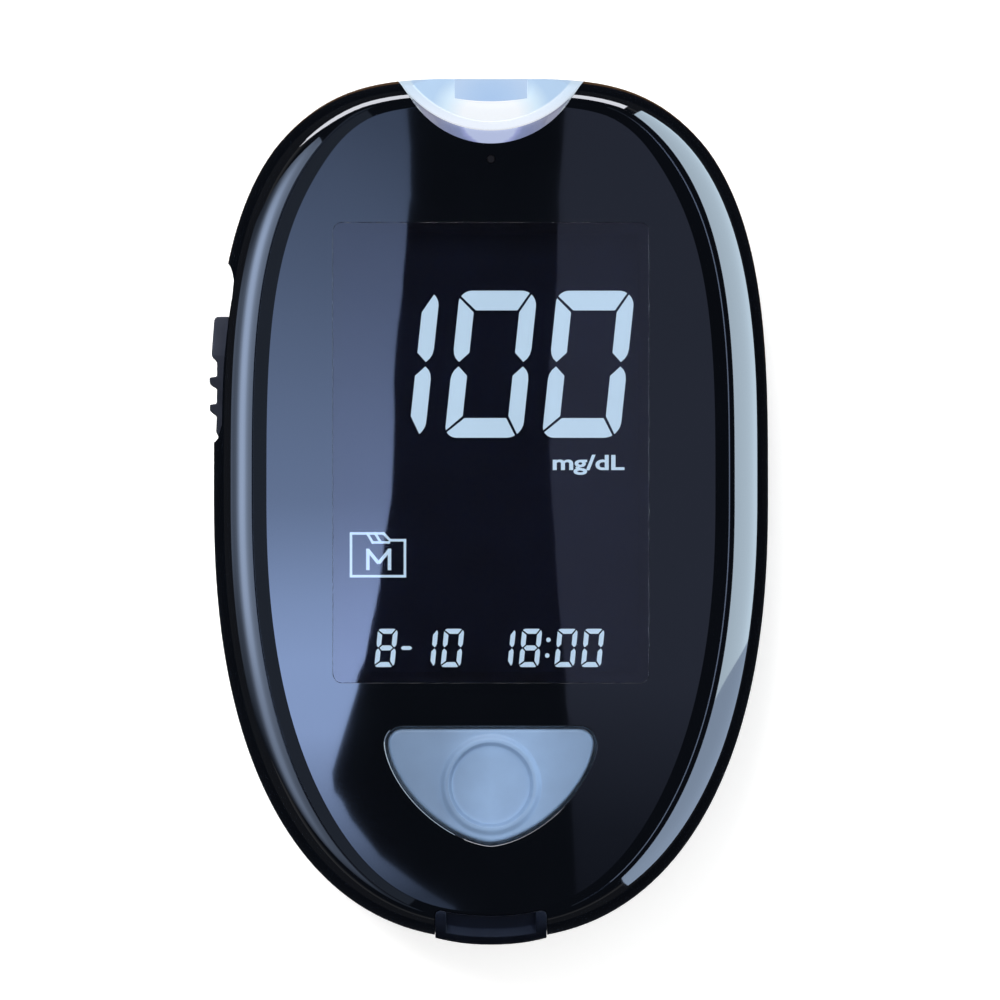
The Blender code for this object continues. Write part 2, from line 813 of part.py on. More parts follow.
def make_batteries():
    """Two cells, head to tail, with a conical spring at each flat end and plates at both ends."""
    for side, x, facing in cell_sides():
        body = cell_length - cell_button_length
        profile = [(0, cell_length), (cell_button_radius, cell_length), (cell_button_radius, body),
                   (cell_radius - cell_edge, body), (cell_radius, body - cell_edge),
                   (cell_radius, cell_edge), (cell_radius - cell_edge, 0), (0, 0)]
        flat_end = bay_bottom + plate_thickness + 2 * gap + cell_spring_length
        if facing < 0:
            flat_end = bay_top - plate_thickness - 2 * gap - cell_spring_length
        cell = turned("battery_" + side, profile, (x, flat_end, cell_z), cell_wrap)
        cell.rotation_euler = (-facing * math.pi / 2, 0, 0)

        points = []
        reach = cell_spring_length - 2 * gap - 2 * cell_spring_wire
        total = cell_spring_turns * coil_points
        for step in range(total + 1):
            share = step / total
            angle = 2 * math.pi * step / coil_points
            wide = cell_spring_wide_share + share * (
                cell_spring_narrow_share - cell_spring_wide_share)
            away = flat_end - facing * (cell_spring_length - gap - cell_spring_wire - reach * share)
            points.append((x + cell_radius * wide * math.cos(angle), away,
                           cell_z + cell_radius * wide * math.sin(angle)))
        wire("battery_spring_" + side, points, cell_spring_wire / 2, steel)

        plate_low = bay_top - gap - plate_thickness
        boxes("battery_plate_" + side, [(
            (x - cell_radius + plate_margin / 2, plate_low, cell_z - cell_radius + plate_margin),
            (x + cell_radius - plate_margin / 2, plate_low + plate_thickness,
             cell_z + cell_radius - plate_margin))], steel)
    boxes("battery_bridge_plate", [(
        (-bay_half_width + plate_margin / 2, bay_bottom + gap, cell_z - cell_radius + plate_margin),
        (bay_half_width - plate_margin / 2, bay_bottom + gap + plate_thickness,
         cell_z + cell_radius - plate_margin))], steel)


def make_main_board():
    """Circuit board: the case's outline drawn in, with the notch, screw holes and rail cleared."""
    outline = [(x, y) for x, y, _ in outline_ring(board_inset, 0)]
    board = prism("main_board", outline, board_bottom, board_top, board_green)
    low, high = board_bottom - overrun, board_top + overrun
    notch = drums("board_notch", [(0, port_y)], notch_radius, low, high)
    bosses = drums("board_boss_holes", case_screw_places, main_boss_radius + gap, low, high)
    screws = drums("board_screw_holes", board_screw_places, screw_radius + gap, low, high)
    rail = boxes("board_rail_cut", [(
        (-half_width, pocket_low - rail_margin - gap, low),
        (rail_x + gap, pocket_high + rail_margin + gap, high))])
    cut(board, notch, bosses, screws, rail)


def board_box(name, shares, size, height, finish):
    """A square component under the board."""
    x, y = place_of(shares)
    top = board_bottom - gap
    made = boxes(name, [((x - size / 2, y - size / 2, top - height),
                         (x + size / 2, y + size / 2, top))], finish)
    soften(made, component_edge)
    return made


def make_board_components():
    """Chips and the buzzer under the board, and the two lamps beside the strip port."""
    board_box("main_chip", main_chip_shares, main_chip_size, main_chip_height, chip_epoxy)
    board_box("sensor_chip", sensor_chip_shares, sensor_chip_size, sensor_chip_height, chip_epoxy)
    x, y = place_of(buzzer_shares)
    top = board_bottom - gap
    turned("buzzer", [
        (0, 0), (buzzer_radius, 0), (buzzer_radius, -buzzer_height + cell_edge),
        (buzzer_radius - cell_edge, -buzzer_height), (buzzer_hole_radius, -buzzer_height),
        (buzzer_hole_radius, -buzzer_height / 2), (0, -buzzer_height / 2)], (x, y, top), chip_epoxy)
    for side, sign in (("left", -1), ("right", 1)):
        x, y = place_of(led_shares)
        low = board_top + gap
        lamp = boxes("port_led_" + side, [(
            (sign * x - led_width / 2, y - led_depth / 2, low),
            (sign * x + led_width / 2, y + led_depth / 2, low + led_height))], white_plastic)
        soften(lamp, component_edge)


def push_switch(name, centre, board_face, up):
    """A push switch on one face of the board: up is 1 on top and -1 underneath."""
    x, y = centre
    near = board_face + up * gap
    far = near + up * switch_height
    tip = far + up * switch_plunger_height
    half = switch_size / 2
    made = boxes(name, [((x - half, y - half, min(near, far)), (x + half, y + half, max(near, far)))],
                 chip_epoxy)
    root = near + up * gap
    plunger = drums(name + "_plunger", [centre], switch_plunger_radius,
                    min(root, tip), max(root, tip))
    join(made, plunger)
    return tip


def make_main_button():
    """Soft half-moon button with a raised ring, a hidden flange and a stem over its switch."""
    centre = (0, button_top - button_ring_drop_share * button_height)
    top = face_edge_z - button_recess + button_dome_share * dome_rise
    flange_top = face_edge_z - front_wall - gap
    flange_low = flange_top - button_flange_thickness
    button = prism("main_button", moon_outline(0), flange_low, top, blue_rubber)
    soften(button, gap)
    flange = prism("button_flange_form", moon_outline(button_flange), flange_low, flange_top)
    stem = drums("button_stem", [centre], button_stem_radius, switch_top + switch_play,
                 flange_low + button_flange_thickness / 2)
    inner = button_ring_radius - button_ring_half_width
    outer = button_ring_radius + button_ring_half_width
    bowl = [(inner * wide, -button_dish_depth * deep) for wide, deep in button_dish_shares]
    dish = turned("button_dish", [
        (0, button_ring_rise + overrun), (inner, button_ring_rise + overrun), (inner, 0),
        *bowl, (0, -button_dish_depth)], (*centre, top), steps=ring_steps)
    inner_share, outer_share = button_ring_shares
    ring = turned("button_ring", [
        (inner, 0),
        (button_ring_radius - button_ring_half_width / 2, button_ring_rise * inner_share),
        (button_ring_radius, button_ring_rise),
        (button_ring_radius + button_ring_half_width / 2, button_ring_rise * outer_share),
        (outer, 0), (outer, -gap), (inner, -gap), (inner, 0)], (*centre, top), steps=ring_steps)
    join(button, flange, stem)
    cut(button, dish)
    join(button, ring)
    hang_from(button, (*centre, top))
    push_switch("main_switch", centre, board_top, 1)


def make_set_button():
    """Small button in the back, with a flange inside and a stem up to its switch."""
    x, y = place_of((0, set_share))
    tip = push_switch("set_switch", (x, y), board_bottom, -1)
    flange_low = back_wall + gap
    flange_top = flange_low + set_flange_thickness
    end = tip - switch_play
    button = turned("set_button", [
        (0, end), (set_stem_radius, end), (set_stem_radius, flange_top),
        (set_radius + set_flange, flange_top), (set_radius + set_flange, flange_low),
        (set_radius, flange_low), (set_radius, set_recess), (0, set_recess)],
        (x, y, 0), dark_rubber)
    hang_from(button, (x, y, set_recess))


def make_display():
    """Lens in its seat, and the display module that stands on the board behind it."""
    lens = prism("display_lens", rounded_rectangle(
        window_width / 2, window_bottom, window_top, window_corner),
        lens_bottom, crest_z + overrun, clear_acrylic)
    keep(lens, front_form)
    half = window_width / 2 - window_ledge + lcd_margin / 2
    low = window_bottom - lcd_tail + contact_strip_inset
    high = window_top
    panel = boxes("lcd_panel", [((-half, low, lcd_bottom), (half, high, lcd_top))], display_glass)
    soften(panel, gap / 2)
    strip_high = low + contact_strip_depth
    strip = boxes("lcd_contact_strip", [(
        (-half + lcd_margin, low + gap, board_top + gap),
        (half - lcd_margin, strip_high, lcd_bottom - gap))], chip_epoxy)
    soften(strip, gap / 2)
    wide = half + backlight_margin
    back = boxes("lcd_backlight", [(
        (-wide, strip_high + gap, backlight_bottom),
        (wide, high + backlight_margin, lcd_bottom - gap))], white_plastic)
    leg_y = (strip_high + 2 * gap, high - backlight_leg)
    legs = boxes("backlight_legs", [(
        (side * (wide - gap) - (side > 0) * backlight_leg, y, board_top + gap),
        (side * (wide - gap) + (side < 0) * backlight_leg, y + backlight_leg,
         backlight_bottom + gap)) for side in (-1, 1) for y in leg_y])
    join(back, legs)


def make_strip_port():
    """Lit strip guide with its lip, scoop and block, and the connector and contacts behind it."""
    guide = drums("port_light_guide", [(0, port_y)], port_radius, port_bottom, port_top,
                  milky_acrylic)
    keep(guide, front_form)
    scoop_radius = port_radius - port_lip
    scoop_low = port_top - port_scoop_depth
    scoop = drums("port_scoop", [(0, port_y)], scoop_radius - port_scoop_slope * port_scoop_depth,
                  scoop_low, port_top + overrun,
                  top_radius=scoop_radius + port_scoop_slope * overrun)
    half = port_block_width / 2
    block = boxes("port_block", [(
        (-half, head_y - port_block_depth, slot_bottom - gap),
        (half, head_y, slot_top + port_block_wall))])
    opening = boxes("port_slot", [(
        (-strip_slot_width / 2, connector_front - overrun, slot_bottom),
        (strip_slot_width / 2, head_y + overrun, slot_top))])
    cut(guide, scoop)
    join(guide, block)
    cut(guide, opening)

    wide = strip_slot_width / 2 + connector_wall
    connector = boxes("strip_connector", [(
        (-wide, connector_back, slot_bottom - connector_floor),
        (wide, connector_front, connector_top))], chip_epoxy)
    channel = boxes("connector_channel", [(
        (-strip_slot_width / 2, connector_back - overrun, slot_bottom),
        (strip_slot_width / 2, connector_front + overrun, slot_top))])
    cut(connector, channel)
    contact_top = slot_top - contact_clearance
    contact_low = contact_top - contact_height
    front = connector_front - gap
    contacts = boxes("strip_contacts", [(
        (-contact_pitch - contact_width / 2, front - contact_spine, contact_low),
        (contact_pitch + contact_width / 2, front, contact_top))], gold_contact)
    leaves = boxes("contact_leaves", [(
        (at * contact_pitch - contact_width / 2, connector_back + contact_inset, contact_low),
        (at * contact_pitch + contact_width / 2, front - contact_spine / 2, contact_top))
        for at in (-1, 0, 1)])
    join(contacts, leaves)


def make_indicator():
    """Light pipe under the small dot in the face. It stands on the strip connector."""
    x, y = place_of((0, indicator_y_share))
    top = face_edge_z - front_wall - gap
    turned("indicator_window", [
        (0, top), (indicator_disc_radius, top),
        (indicator_disc_radius, top - indicator_disc_height),
        (indicator_stem_radius, top - indicator_disc_height),
        (indicator_stem_radius, connector_top + gap), (0, connector_top + gap)],
        (x, y, 0), clear_acrylic)


def make_ejector():
    """Ribbed slider, the arm behind it that pushes the strip out, and its return spring."""
    low, high = ejector_low, ejector_high
    inner = pocket_x - gap
    thumb = inner - ejector_thumb
    plate = inner - ejector_plate
    rib = inner - ejector_rib
    outline = [(inner, low), (inner, high), (thumb, high), (thumb, high - ejector_thumb_length),
               (plate, high - ejector_thumb_length)]
    for share in sorted(ejector_rib_shares, reverse=True):
        middle = low + share * ejector_length
        outline += [(plate, middle + ejector_rib_width / 2), (rib, middle + ejector_rib_width / 2),
                    (rib, middle - ejector_rib_width / 2), (plate, middle - ejector_rib_width / 2)]
    outline.append((plate, low))
    half = ejector_height / 2
    slider = prism("ejector_slider", outline[::-1], ejector_z - half, ejector_z + half, dark_rubber)
    tip = half * ejector_tear_share
    bank = high - ejector_thumb_length
    tear = prism("ejector_tear", [
        (high, ejector_z + half), (high, ejector_z - half), (bank, ejector_z - half),
        (low, ejector_z - tip), (low, ejector_z + tip), (bank, ejector_z + half)],
        inner - ejector_rib - overrun, inner + overrun, along="X")
    keep(slider, tear)
    soften(slider, gap / 2)
    shank = boxes("ejector_shank", [(
        (inner - gap, shank_low, arm_bottom), (rail_x + gap, shank_high, arm_top))])
    join(slider, shank)
    hang_from(slider, (pocket_x, ejector_y, ejector_z))

    inner_end = -ejector_arm_reach
    bar_low = bar_high - ejector_bar_width
    finger = ejector_finger_width / 2
    start = rail_x + 2 * gap
    arm = prism("ejector_arm", [
        (start, shank_low), (inner_end, shank_low), (inner_end, bar_low), (finger, bar_low),
        (finger, connector_back - gap), (-finger, connector_back - gap), (-finger, bar_high),
        (inner_end - ejector_arm_width, bar_high), (inner_end - ejector_arm_width, shank_high),
        (start, shank_high)], arm_bottom, arm_top, white_plastic)
    hang_from(arm, (pocket_x, ejector_y, ejector_z))

    total = ejector_spring_turns * coil_points
    wire_low = spring_low + ejector_spring_wire
    reach = spring_length - 2 * ejector_spring_wire
    points = [(spring_x + ejector_spring_radius * math.cos(2 * math.pi * step / coil_points),
               wire_low + reach * step / total,
               ejector_z + ejector_spring_radius * math.sin(2 * math.pi * step / coil_points))
              for step in range(total + 1)]
    wire("ejector_spring", points, ejector_spring_wire, steel)


def make_data_port():
    """Flap with its thumb groove and hinge bead, and the socket on the board behind it."""
    outer = cover_profile(cover_proud, cover_rise, cover_end_angle, cover_steps)
    inner = cover_profile(-cover_wall, -cover_wall_rise, cover_end_angle, cover_steps)
    inner = [(inner[2][0], cover_hinge_height)] + inner[2:]
    half = cover_width / 2
    cover = prism("data_port_cover", outer + inner[::-1], -half, half, navy_satin, along="X")
    axis = (tail_y + cover_hinge_radius, cover_hinge_height)
    bead = drums("cover_bead", [axis], cover_hinge_radius, -half, half, along="X")
    thumb_z = rim_z + rim_height * math.sin(cover_groove_angle)
    thumb = drums("cover_thumb", [(tail_y - cover_proud - cover_groove_offset, thumb_z)],
                  cover_groove_radius, -cover_groove_width / 2, cover_groove_width / 2, along="X")
    join(cover, bead)
    cut(cover, thumb)
    hang_from(cover, (0, *axis))

    top = board_bottom - gap
    half = socket_width / 2
    front = tail_y + front_wall + gap
    socket = boxes("data_socket", [(
        (-half, front, top - socket_height), (half, front + socket_length, top))], steel)
    room = boxes("socket_room", [(
        (-half + socket_wall, front - overrun, top - socket_height + socket_wall),
        (half - socket_wall, front + socket_length * socket_room_share, top - socket_wall))])
    tongue_z = top - socket_height / 2
    tongue = boxes("socket_tongue", [(
        (-half + socket_tongue_margin, front + socket_wall, tongue_z - socket_tongue / 2),
        (half - socket_tongue_margin, front + socket_length - socket_wall,
         tongue_z + socket_tongue / 2))])
    cut(socket, room)
    join(socket, tongue)


def screw(name, place, head_low, shank_top):
    """A pan-head screw that points up, with its slotted head underneath."""
    x, y = place
    head_top = head_low + screw_head_height
    made = turned(name, [
        (0, shank_top), (screw_radius / 2, shank_top), (screw_radius, shank_top - screw_radius),
        (screw_radius, head_top), (screw_head_radius, head_top),
        (screw_head_radius, head_low + screw_slot_depth),
        (screw_head_radius * screw_edge_share, head_low), (0, head_low)],
        (x, y, 0), steel, steps=screw_steps)
    slot = boxes(name + "_slot", [(
        (x - screw_head_radius - overrun, y - screw_slot_width / 2, head_low - overrun),
        (x + screw_head_radius + overrun, y + screw_slot_width / 2,
         head_low + screw_slot_depth))])
    cut(made, slot)


def make_screws():
    """Four screws that join the shells from the back, and three that hold the board."""
    for number, place in enumerate(case_screw_places, 1):
        screw(f"case_screw_{number}", place, screw_seat_height - gap - screw_head_height,
              board_bottom + screw_bite - gap)
    for number, place in enumerate(board_screw_places, 1):
        screw(f"board_screw_{number}", place, board_bottom - gap - screw_head_height,
              board_bottom + screw_bite - gap)


case_screw_places = [place_of(shares) for shares in case_screw_shares]
board_screw_places = [place_of(shares) for shares in board_screw_shares]
front_form = form("front_form", front_rings(front_bottom), crest_z)
post_form = form("post_form", back_rings(back_wall / 2, back_height), back_height)
ejector_groove = make_ejector_groove()
tail_cutters = make_tail_cutters()
make_front_case()
make_back_case()
make_battery_door()
make_batteries()
make_main_board()
make_board_components()
make_main_button()
make_set_button()
make_display()
make_strip_port()
make_indicator()
make_ejector()
make_data_port()
make_screws()
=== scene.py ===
"""Looks of a hand-held blood glucose meter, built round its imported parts.

Metres, +Z up. The meter lies on its back, with the display up and the strip port towards +Y.
"""

import math

import bmesh
import bpy
import numpy as np
from mathutils import Matrix, Vector


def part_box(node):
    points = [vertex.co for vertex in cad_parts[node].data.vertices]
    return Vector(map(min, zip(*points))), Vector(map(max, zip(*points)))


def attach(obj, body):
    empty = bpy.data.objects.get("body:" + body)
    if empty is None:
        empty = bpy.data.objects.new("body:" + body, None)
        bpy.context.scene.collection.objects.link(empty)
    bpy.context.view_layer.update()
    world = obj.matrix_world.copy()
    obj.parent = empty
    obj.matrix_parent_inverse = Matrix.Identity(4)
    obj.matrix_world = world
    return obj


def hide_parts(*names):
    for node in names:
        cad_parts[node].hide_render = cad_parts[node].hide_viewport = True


bl_info = {
    "name": "Blood glucose meter",
    "version": (1, 0, 0),
    "blender": (4, 5, 0),
    "location": "3D View > Sidebar > Meter",
    "description": "Models the visible pieces of a blood glucose meter round its packed parts",
    "category": "Object",
}

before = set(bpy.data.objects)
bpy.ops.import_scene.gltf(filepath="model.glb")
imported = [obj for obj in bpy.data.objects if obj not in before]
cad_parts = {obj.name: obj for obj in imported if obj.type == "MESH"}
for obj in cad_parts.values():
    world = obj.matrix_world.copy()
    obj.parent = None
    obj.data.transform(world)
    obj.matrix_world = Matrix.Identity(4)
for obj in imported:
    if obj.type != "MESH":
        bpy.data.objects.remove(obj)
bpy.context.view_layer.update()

mm = 0.001
tau = 2 * math.pi
clearance = 0.04 * mm
overrun = 2 * mm

# Outline of the case: two superellipse halves that share their widest line
outline_y = 2 * mm
half_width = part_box("back_case")[1].x
head_reach, head_power, head_y = 46.4 * mm, 3.15, 48 * mm
tail_reach, tail_power = 49.3 * mm, 2.37
tail_y = outline_y - tail_reach
head_bow, head_bow_power = 0.272 * mm, 3.84
narrowing, head_narrowing_power, tail_narrowing_power = 0.46, 4.2, 2.4
ring_steps = 256

# Front shell
front_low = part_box("front_case")[0].z
rim_z, rim_width, rim_height = 20.9 * mm, 5.1 * mm, 4.194 * mm
rim_cut, band_start, band_end = 4.35 * mm, 4.47 * mm, 5.95 * mm
step_drop, face_z = 0.026 * mm, 25.2 * mm
crest_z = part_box("display_lens")[1].z
front_wall, back_wall = 2.0 * mm, 1.8 * mm

# Back shell
parting_gap = 0.3 * mm
back_top = front_low - parting_gap
back_curve_width, back_curve_height = 8.5 * mm, 9.0 * mm

# Places of the pieces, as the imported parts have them
lens_low, lens_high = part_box("display_lens")
lcd_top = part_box("lcd_panel")[1].z
port_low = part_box("port_light_guide")[0]
slider_low, slider_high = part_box("ejector_slider")
flap_low, flap_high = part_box("data_port_cover")
port_y, port_top = 54.35 * mm, 23.7 * mm
ring_y = -30.05 * mm
dot_y = 38.87 * mm
flap_reach, flap_wall, flap_wall_rise, flap_bow = 2.8 * mm, 0.6 * mm, 0.9 * mm, 0.3 * mm
flap_swing_room, flap_hinge = 0.4 * mm, (0, -46.6 * mm, 8.6 * mm)
tongue_x = 10.15 * mm
seat_z = lens_low.z - 0.1 * mm
case_screws = [f"case_screw_{number}" for number in range(1, 5)]
port_steps, bevel_steps, smooth_angle = 360, 3, math.radians(30)


def colour(code):
    """Linear colour of an sRGB hex value."""
    parts = [int(code[at:at + 2], 16) / 255 for at in (0, 2, 4)]
    return tuple(c / 12.92 if c <= 0.04045 else ((c + 0.055) / 1.055) ** 2.4 for c in parts)


def length(label, note, default):
    """A size that a user may change."""
    return bpy.props.FloatProperty(
        name=label, description=note, default=default, min=0, unit="LENGTH", precision=5)


def paint(label, note, code):
    """A colour that a user may change, from its sRGB hex value."""
    return bpy.props.FloatVectorProperty(
        name=label, description=note, default=colour(code), min=0, max=1, subtype="COLOR")


class MeterSizes(bpy.types.PropertyGroup):
    lip: length("Opening lip", "Radius of the lip round the openings in the face", 0.22 * mm)
    lens_edge: length("Lens edge", "Radius of the display lens's edge", 0.02 * mm)
    button_edge: length("Button edge", "Radius of the main button's edge", 0.40 * mm)
    button_recess: length("Button recess", "How far the button sits below the face", 0.28 * mm)
    ring_rise: length("Ring rise", "Height of the ring on the button", 0.42 * mm)
    dish_depth: length("Dish depth", "Depth of the dish inside the ring", 0.30 * mm)
    reading_height: length("Reading height", "Height of the large digits", 16.22 * mm)
    clock_height: length("Clock height", "Height of the small digits", 4.22 * mm)
    icon_line: length("Icon line", "Line width of the memory icon", 0.28 * mm)
    slider_edge: length("Slider edge", "Rounding of the slider's edges", 0.28 * mm)
    grip_rib: length("Grip rib", "Width of a rib in the battery door's grip", 0.7 * mm)


class MeterColours(bpy.types.PropertyGroup):
    case: paint("Case", "Glossy front shell", "05070c")
    back: paint("Back", "Satin back shell and door", "15161b")
    button: paint("Button", "Soft main button", "809cbf")
    port: paint("Port lip", "Lip of the lit strip port", "cfe3f4")
    port_shade: paint("Port shade", "Strip port away from its lamps", "b6d2f0")
    bevel: paint("Port bevel", "Bevel of the case round the port", "b9c4e6")
    digits: paint("Digits", "Lit display segments", "bbd6eb")
    glass: paint("Display", "Display behind the lens", "18203a")
    slider: paint("Slider", "Ejector slider", "1d1e27")
    flap: paint("Flap", "Flap over the data socket", "060a16")
    indicator: paint("Indicator", "Light pipe above the display", "090709")
    board: paint("Board", "Solder mask of the circuit board", "0f4a2c")
    cell: paint("Cell", "Printed wrap of the batteries", "1f3f78")


def sizes():
    return bpy.context.scene.meter_sizes


def colours():
    return bpy.context.scene.meter_colours


def start():
    """Leaves edit mode with nothing selected."""
    if bpy.context.mode != "OBJECT":
        bpy.ops.object.mode_set(mode="OBJECT")
    bpy.ops.object.select_all(action="DESELECT")


def pick(made):
    """Selects one object alone and makes it the active one."""
    start()
    made.select_set(True)
    bpy.context.view_layer.objects.active = made


def modify(made, kind, **settings):
    """Adds a modifier with its settings and applies it."""
    pick(made)
    step = made.modifiers.new(kind.lower(), kind)
    for name, value in settings.items():
        setattr(step, name, value)
    bpy.ops.object.modifier_apply(modifier=step.name)


def combine(made, operation, *others):
    """Joins, cuts or trims a piece with others, which are used up."""
    for other in others:
        modify(made, "BOOLEAN", operation=operation, solver="EXACT", object=other)
        bpy.data.objects.remove(other)


def round_edges(made, width, angle=35):
    """Rounds every edge that is sharper than an angle in degrees."""
    modify(made, "BEVEL", width=width, segments=bevel_steps, limit_method="ANGLE",
           angle_limit=math.radians(angle), harden_normals=False)


def skin(name, rings, filled=True, point=False, open_top=False):
    """A form drawn up from a circle: each ring is extruded from the last and set on its points."""
    start()
    bpy.ops.mesh.primitive_circle_add(
        vertices=len(rings[0]), radius=mm, fill_type="NGON" if filled else "NOTHING")
    made = bpy.context.object
    made.name = made.data.name = name
    bpy.ops.object.mode_set(mode="EDIT")
    bpy.ops.mesh.select_all(action="SELECT")
    for at, ring in enumerate(rings):
        if at:
            bpy.ops.mesh.extrude_region_move()
        shape = bmesh.from_edit_mesh(made.data)
        shape.verts.ensure_lookup_table()
        for corner, place in zip(shape.verts[-len(ring):], ring):
            corner.co = place
        bmesh.update_edit_mesh(made.data)
    if point:
        bpy.ops.mesh.merge(type="CENTER")
    if open_top:
        bpy.ops.mesh.delete(type="ONLY_FACE")
    bpy.ops.mesh.select_all(action="SELECT")
    if enclosed(made, rings[0]) < 0:
        bpy.ops.mesh.flip_normals()
    bpy.ops.object.mode_set(mode="OBJECT")
    return made


def enclosed(made, ring):
    """Volume between a skin in edit mode and its first ring's middle, below zero if inside out."""
    shape = bmesh.from_edit_mesh(made.data)
    middle = sum(ring, Vector()) / len(ring)
    total = 0
    for face in shape.faces:
        corners = [corner.co - middle for corner in face.verts]
        for at in range(1, len(corners) - 1):
            total += corners[0].dot(corners[at].cross(corners[at + 1]))
    return total


def in_mm(points):
    """Places given in millimetres, in metres."""
    return [tuple(part * mm for part in point) for point in points]


def level(points, height):
    """Points of a flat outline, at one height."""
    return [Vector((x, y, height)) for x, y in points]


def block(name, low, high, radius=0):
    """A box between two corners, with its edges rounded."""
    start()
    low, high = Vector(low), Vector(high)
    bpy.ops.mesh.primitive_cube_add(size=1, location=(low + high) / 2, scale=high - low)
    made = bpy.context.object
    made.name = made.data.name = name
    bpy.ops.object.transform_apply(location=True, rotation=True, scale=True)
    if radius:
        bpy.ops.object.mode_set(mode="EDIT")
        bpy.ops.mesh.select_all(action="SELECT")
        bpy.ops.mesh.bevel(offset=radius, segments=bevel_steps, affect="EDGES")
        bpy.ops.object.mode_set(mode="OBJECT")
    return made


def circle(radius, height, centre=(0, 0), count=64):
    """Points of a level circle."""
    turns = [tau * at / count for at in range(count)]
    return [Vector((centre[0] + radius * math.cos(turn), centre[1] + radius * math.sin(turn),
                    height)) for turn in turns]


def turned(name, profile, centre, count=64, along_x=False, point=False):
    """A round piece from its profile of radius and height, standing on centre along Z or X."""
    made = skin(name, [circle(radius, height, count=count) for radius, height in profile],
                point=point)
    turn = Matrix.Rotation(math.pi / 2, 4, "Y") if along_x else Matrix.Identity(4)
    made.data.transform(Matrix.Translation(centre) @ turn)
    return made


def outline(inset, height=0, rim=0):
    """Points of the case's outline, drawn in by inset and by a rim that narrows at both ends."""
    ring = []
    for at in range(ring_steps):
        turn = tau * at / ring_steps
        across, along = math.cos(turn), math.sin(turn)
        reach, power, narrowing_power = (
            (head_reach, head_power, head_narrowing_power) if along >= 0
            else (tail_reach, tail_power, tail_narrowing_power))
        radius = ((abs(across) / half_width) ** power
                  + (abs(along) / reach) ** power) ** (-1 / power)
        x, y = radius * across, radius * along
        slope = Vector((math.copysign((abs(x) / half_width) ** (power - 1) / half_width, x),
                        math.copysign((abs(y) / reach) ** (power - 1) / reach, y))).normalized()
        depth = inset + rim * (1 - narrowing * abs(slope.y) ** narrowing_power)
        x -= depth * slope.x
        bow = head_bow * (abs(x) / (10 * mm)) ** head_bow_power
        ring.append(Vector((x, min(outline_y + y - depth * slope.y, head_y - depth - bow), height)))
    return ring


dome_rise = crest_z - face_z
face_ring = outline(0, rim=band_end)
face_angles = [math.atan2(p.y - outline_y, p.x) for p in face_ring]
face_radii = [math.hypot(p.x, p.y - outline_y) for p in face_ring]


def dome(x, y):
    """Height of the domed face at a place."""
    edge = np.interp(math.atan2(y - outline_y, x), face_angles, face_radii, period=tau)
    share = min(math.hypot(x, y - outline_y) / edge, 1)
    return face_z + dome_rise * (1 - share ** 2)


def lifted(points, rise=0):
    """Points laid on the domed face and raised a little."""
    return [Vector((p[0], p[1], dome(p[0], p[1]) + rise)) for p in points]


def dome_rings(edge, low, high):
    """Rings of a dome that rises from its edge ring to its crest."""
    return [[Vector((share * p.x, outline_y + share * (p.y - outline_y),
                     low + (high - low) * (1 - share ** 2))) for p in edge]
            for share in (1, 0.999, 0.99, 0.97, 0.94, 0.9, 0.85, 0.79, 0.72, 0.64, 0.55, 0.45, 0.34,
                          0.23, 0.12, 0.01)]


def front_rings():
    """Rings of the front's skin: wall, rim, fine step, rising band and domed face."""
    edge, steps, near = 0.25 * mm, 24, 0.02 * mm
    rings = [outline(edge, front_low), outline(edge * 0.3, front_low + edge * 0.3),
             outline(0, front_low + edge)]
    rings += [outline(0, front_low + (rim_z - front_low) * share) for share in (0.3, 0.6, 0.9)]
    last = math.acos(1 - rim_cut / rim_width)
    for step in [*range(steps), steps - 0.1, steps]:
        angle = last * step / steps
        rings.append(outline(0, rim_z + rim_height * math.sin(angle),
                             rim_width * (1 - math.cos(angle))))
    crease = rim_z + rim_height * math.sin(last)
    foot = crease - step_drop
    slope = (face_z - foot) / (band_end - band_start)
    rings += [outline(0, crease - step_drop * share, rim_cut + (band_start - rim_cut) * share)
              for share in (0.2, 0.8, 1)]
    rings += [outline(0, foot + slope * inset, band_start + inset)
              for inset in (near, 0.5 * mm, 1.0 * mm, band_end - band_start - near)]
    return rings + dome_rings(face_ring, face_z, crest_z)


def front_room():
    """Rings of the room inside the front."""
    steps = 10
    rings = [outline(front_wall, front_low - overrun), outline(front_wall, (front_low + rim_z) / 2)]
    for step in range(steps + 1):
        angle = math.pi / 2 * step / steps
        rings.append(outline(front_wall * math.cos(angle),
                             rim_z + (rim_height - front_wall) * math.sin(angle),
                             rim_width * (1 - math.cos(angle))))
    return rings + dome_rings(face_ring, face_z - front_wall, crest_z - front_wall)


def back_rings(lift=0):
    """Rings of the back's skin, from its flat face up to the parting line."""
    steps, edge = 14, 0.2 * mm
    rings = []
    for step in range(steps + 1):
        angle = math.pi / 2 * (1 - step / steps)
        rings.append(outline(back_curve_width * (1 - math.cos(angle)),
                             lift + back_curve_height * (1 - math.sin(angle))))
    return rings + [outline(0, back_top - edge), outline(edge, back_top)]


def rounded_rectangle(half_x, low, high, radius):
    """Points of an upright rectangle about X = 0, with round corners and points along its sides."""
    steps, sides = 8, 14
    points = []
    for at, (x, y) in enumerate(((half_x - radius, high - radius), (radius - half_x, high - radius),
                                 (radius - half_x, low + radius), (half_x - radius, low + radius))):
        for step in range(steps + 1):
            angle = math.pi / 2 * (at + step / steps)
            points.append((x + radius * math.cos(angle), y + radius * math.sin(angle)))
    full = []
    for at, (x, y) in enumerate(points):
        full.append((x, y))
        if at % (steps + 1) == steps:
            next_x, next_y = points[(at + 1) % len(points)]
            full += [(x + (next_x - x) * side / sides, y + (next_y - y) * side / sides)
                     for side in range(1, sides)]
    return full


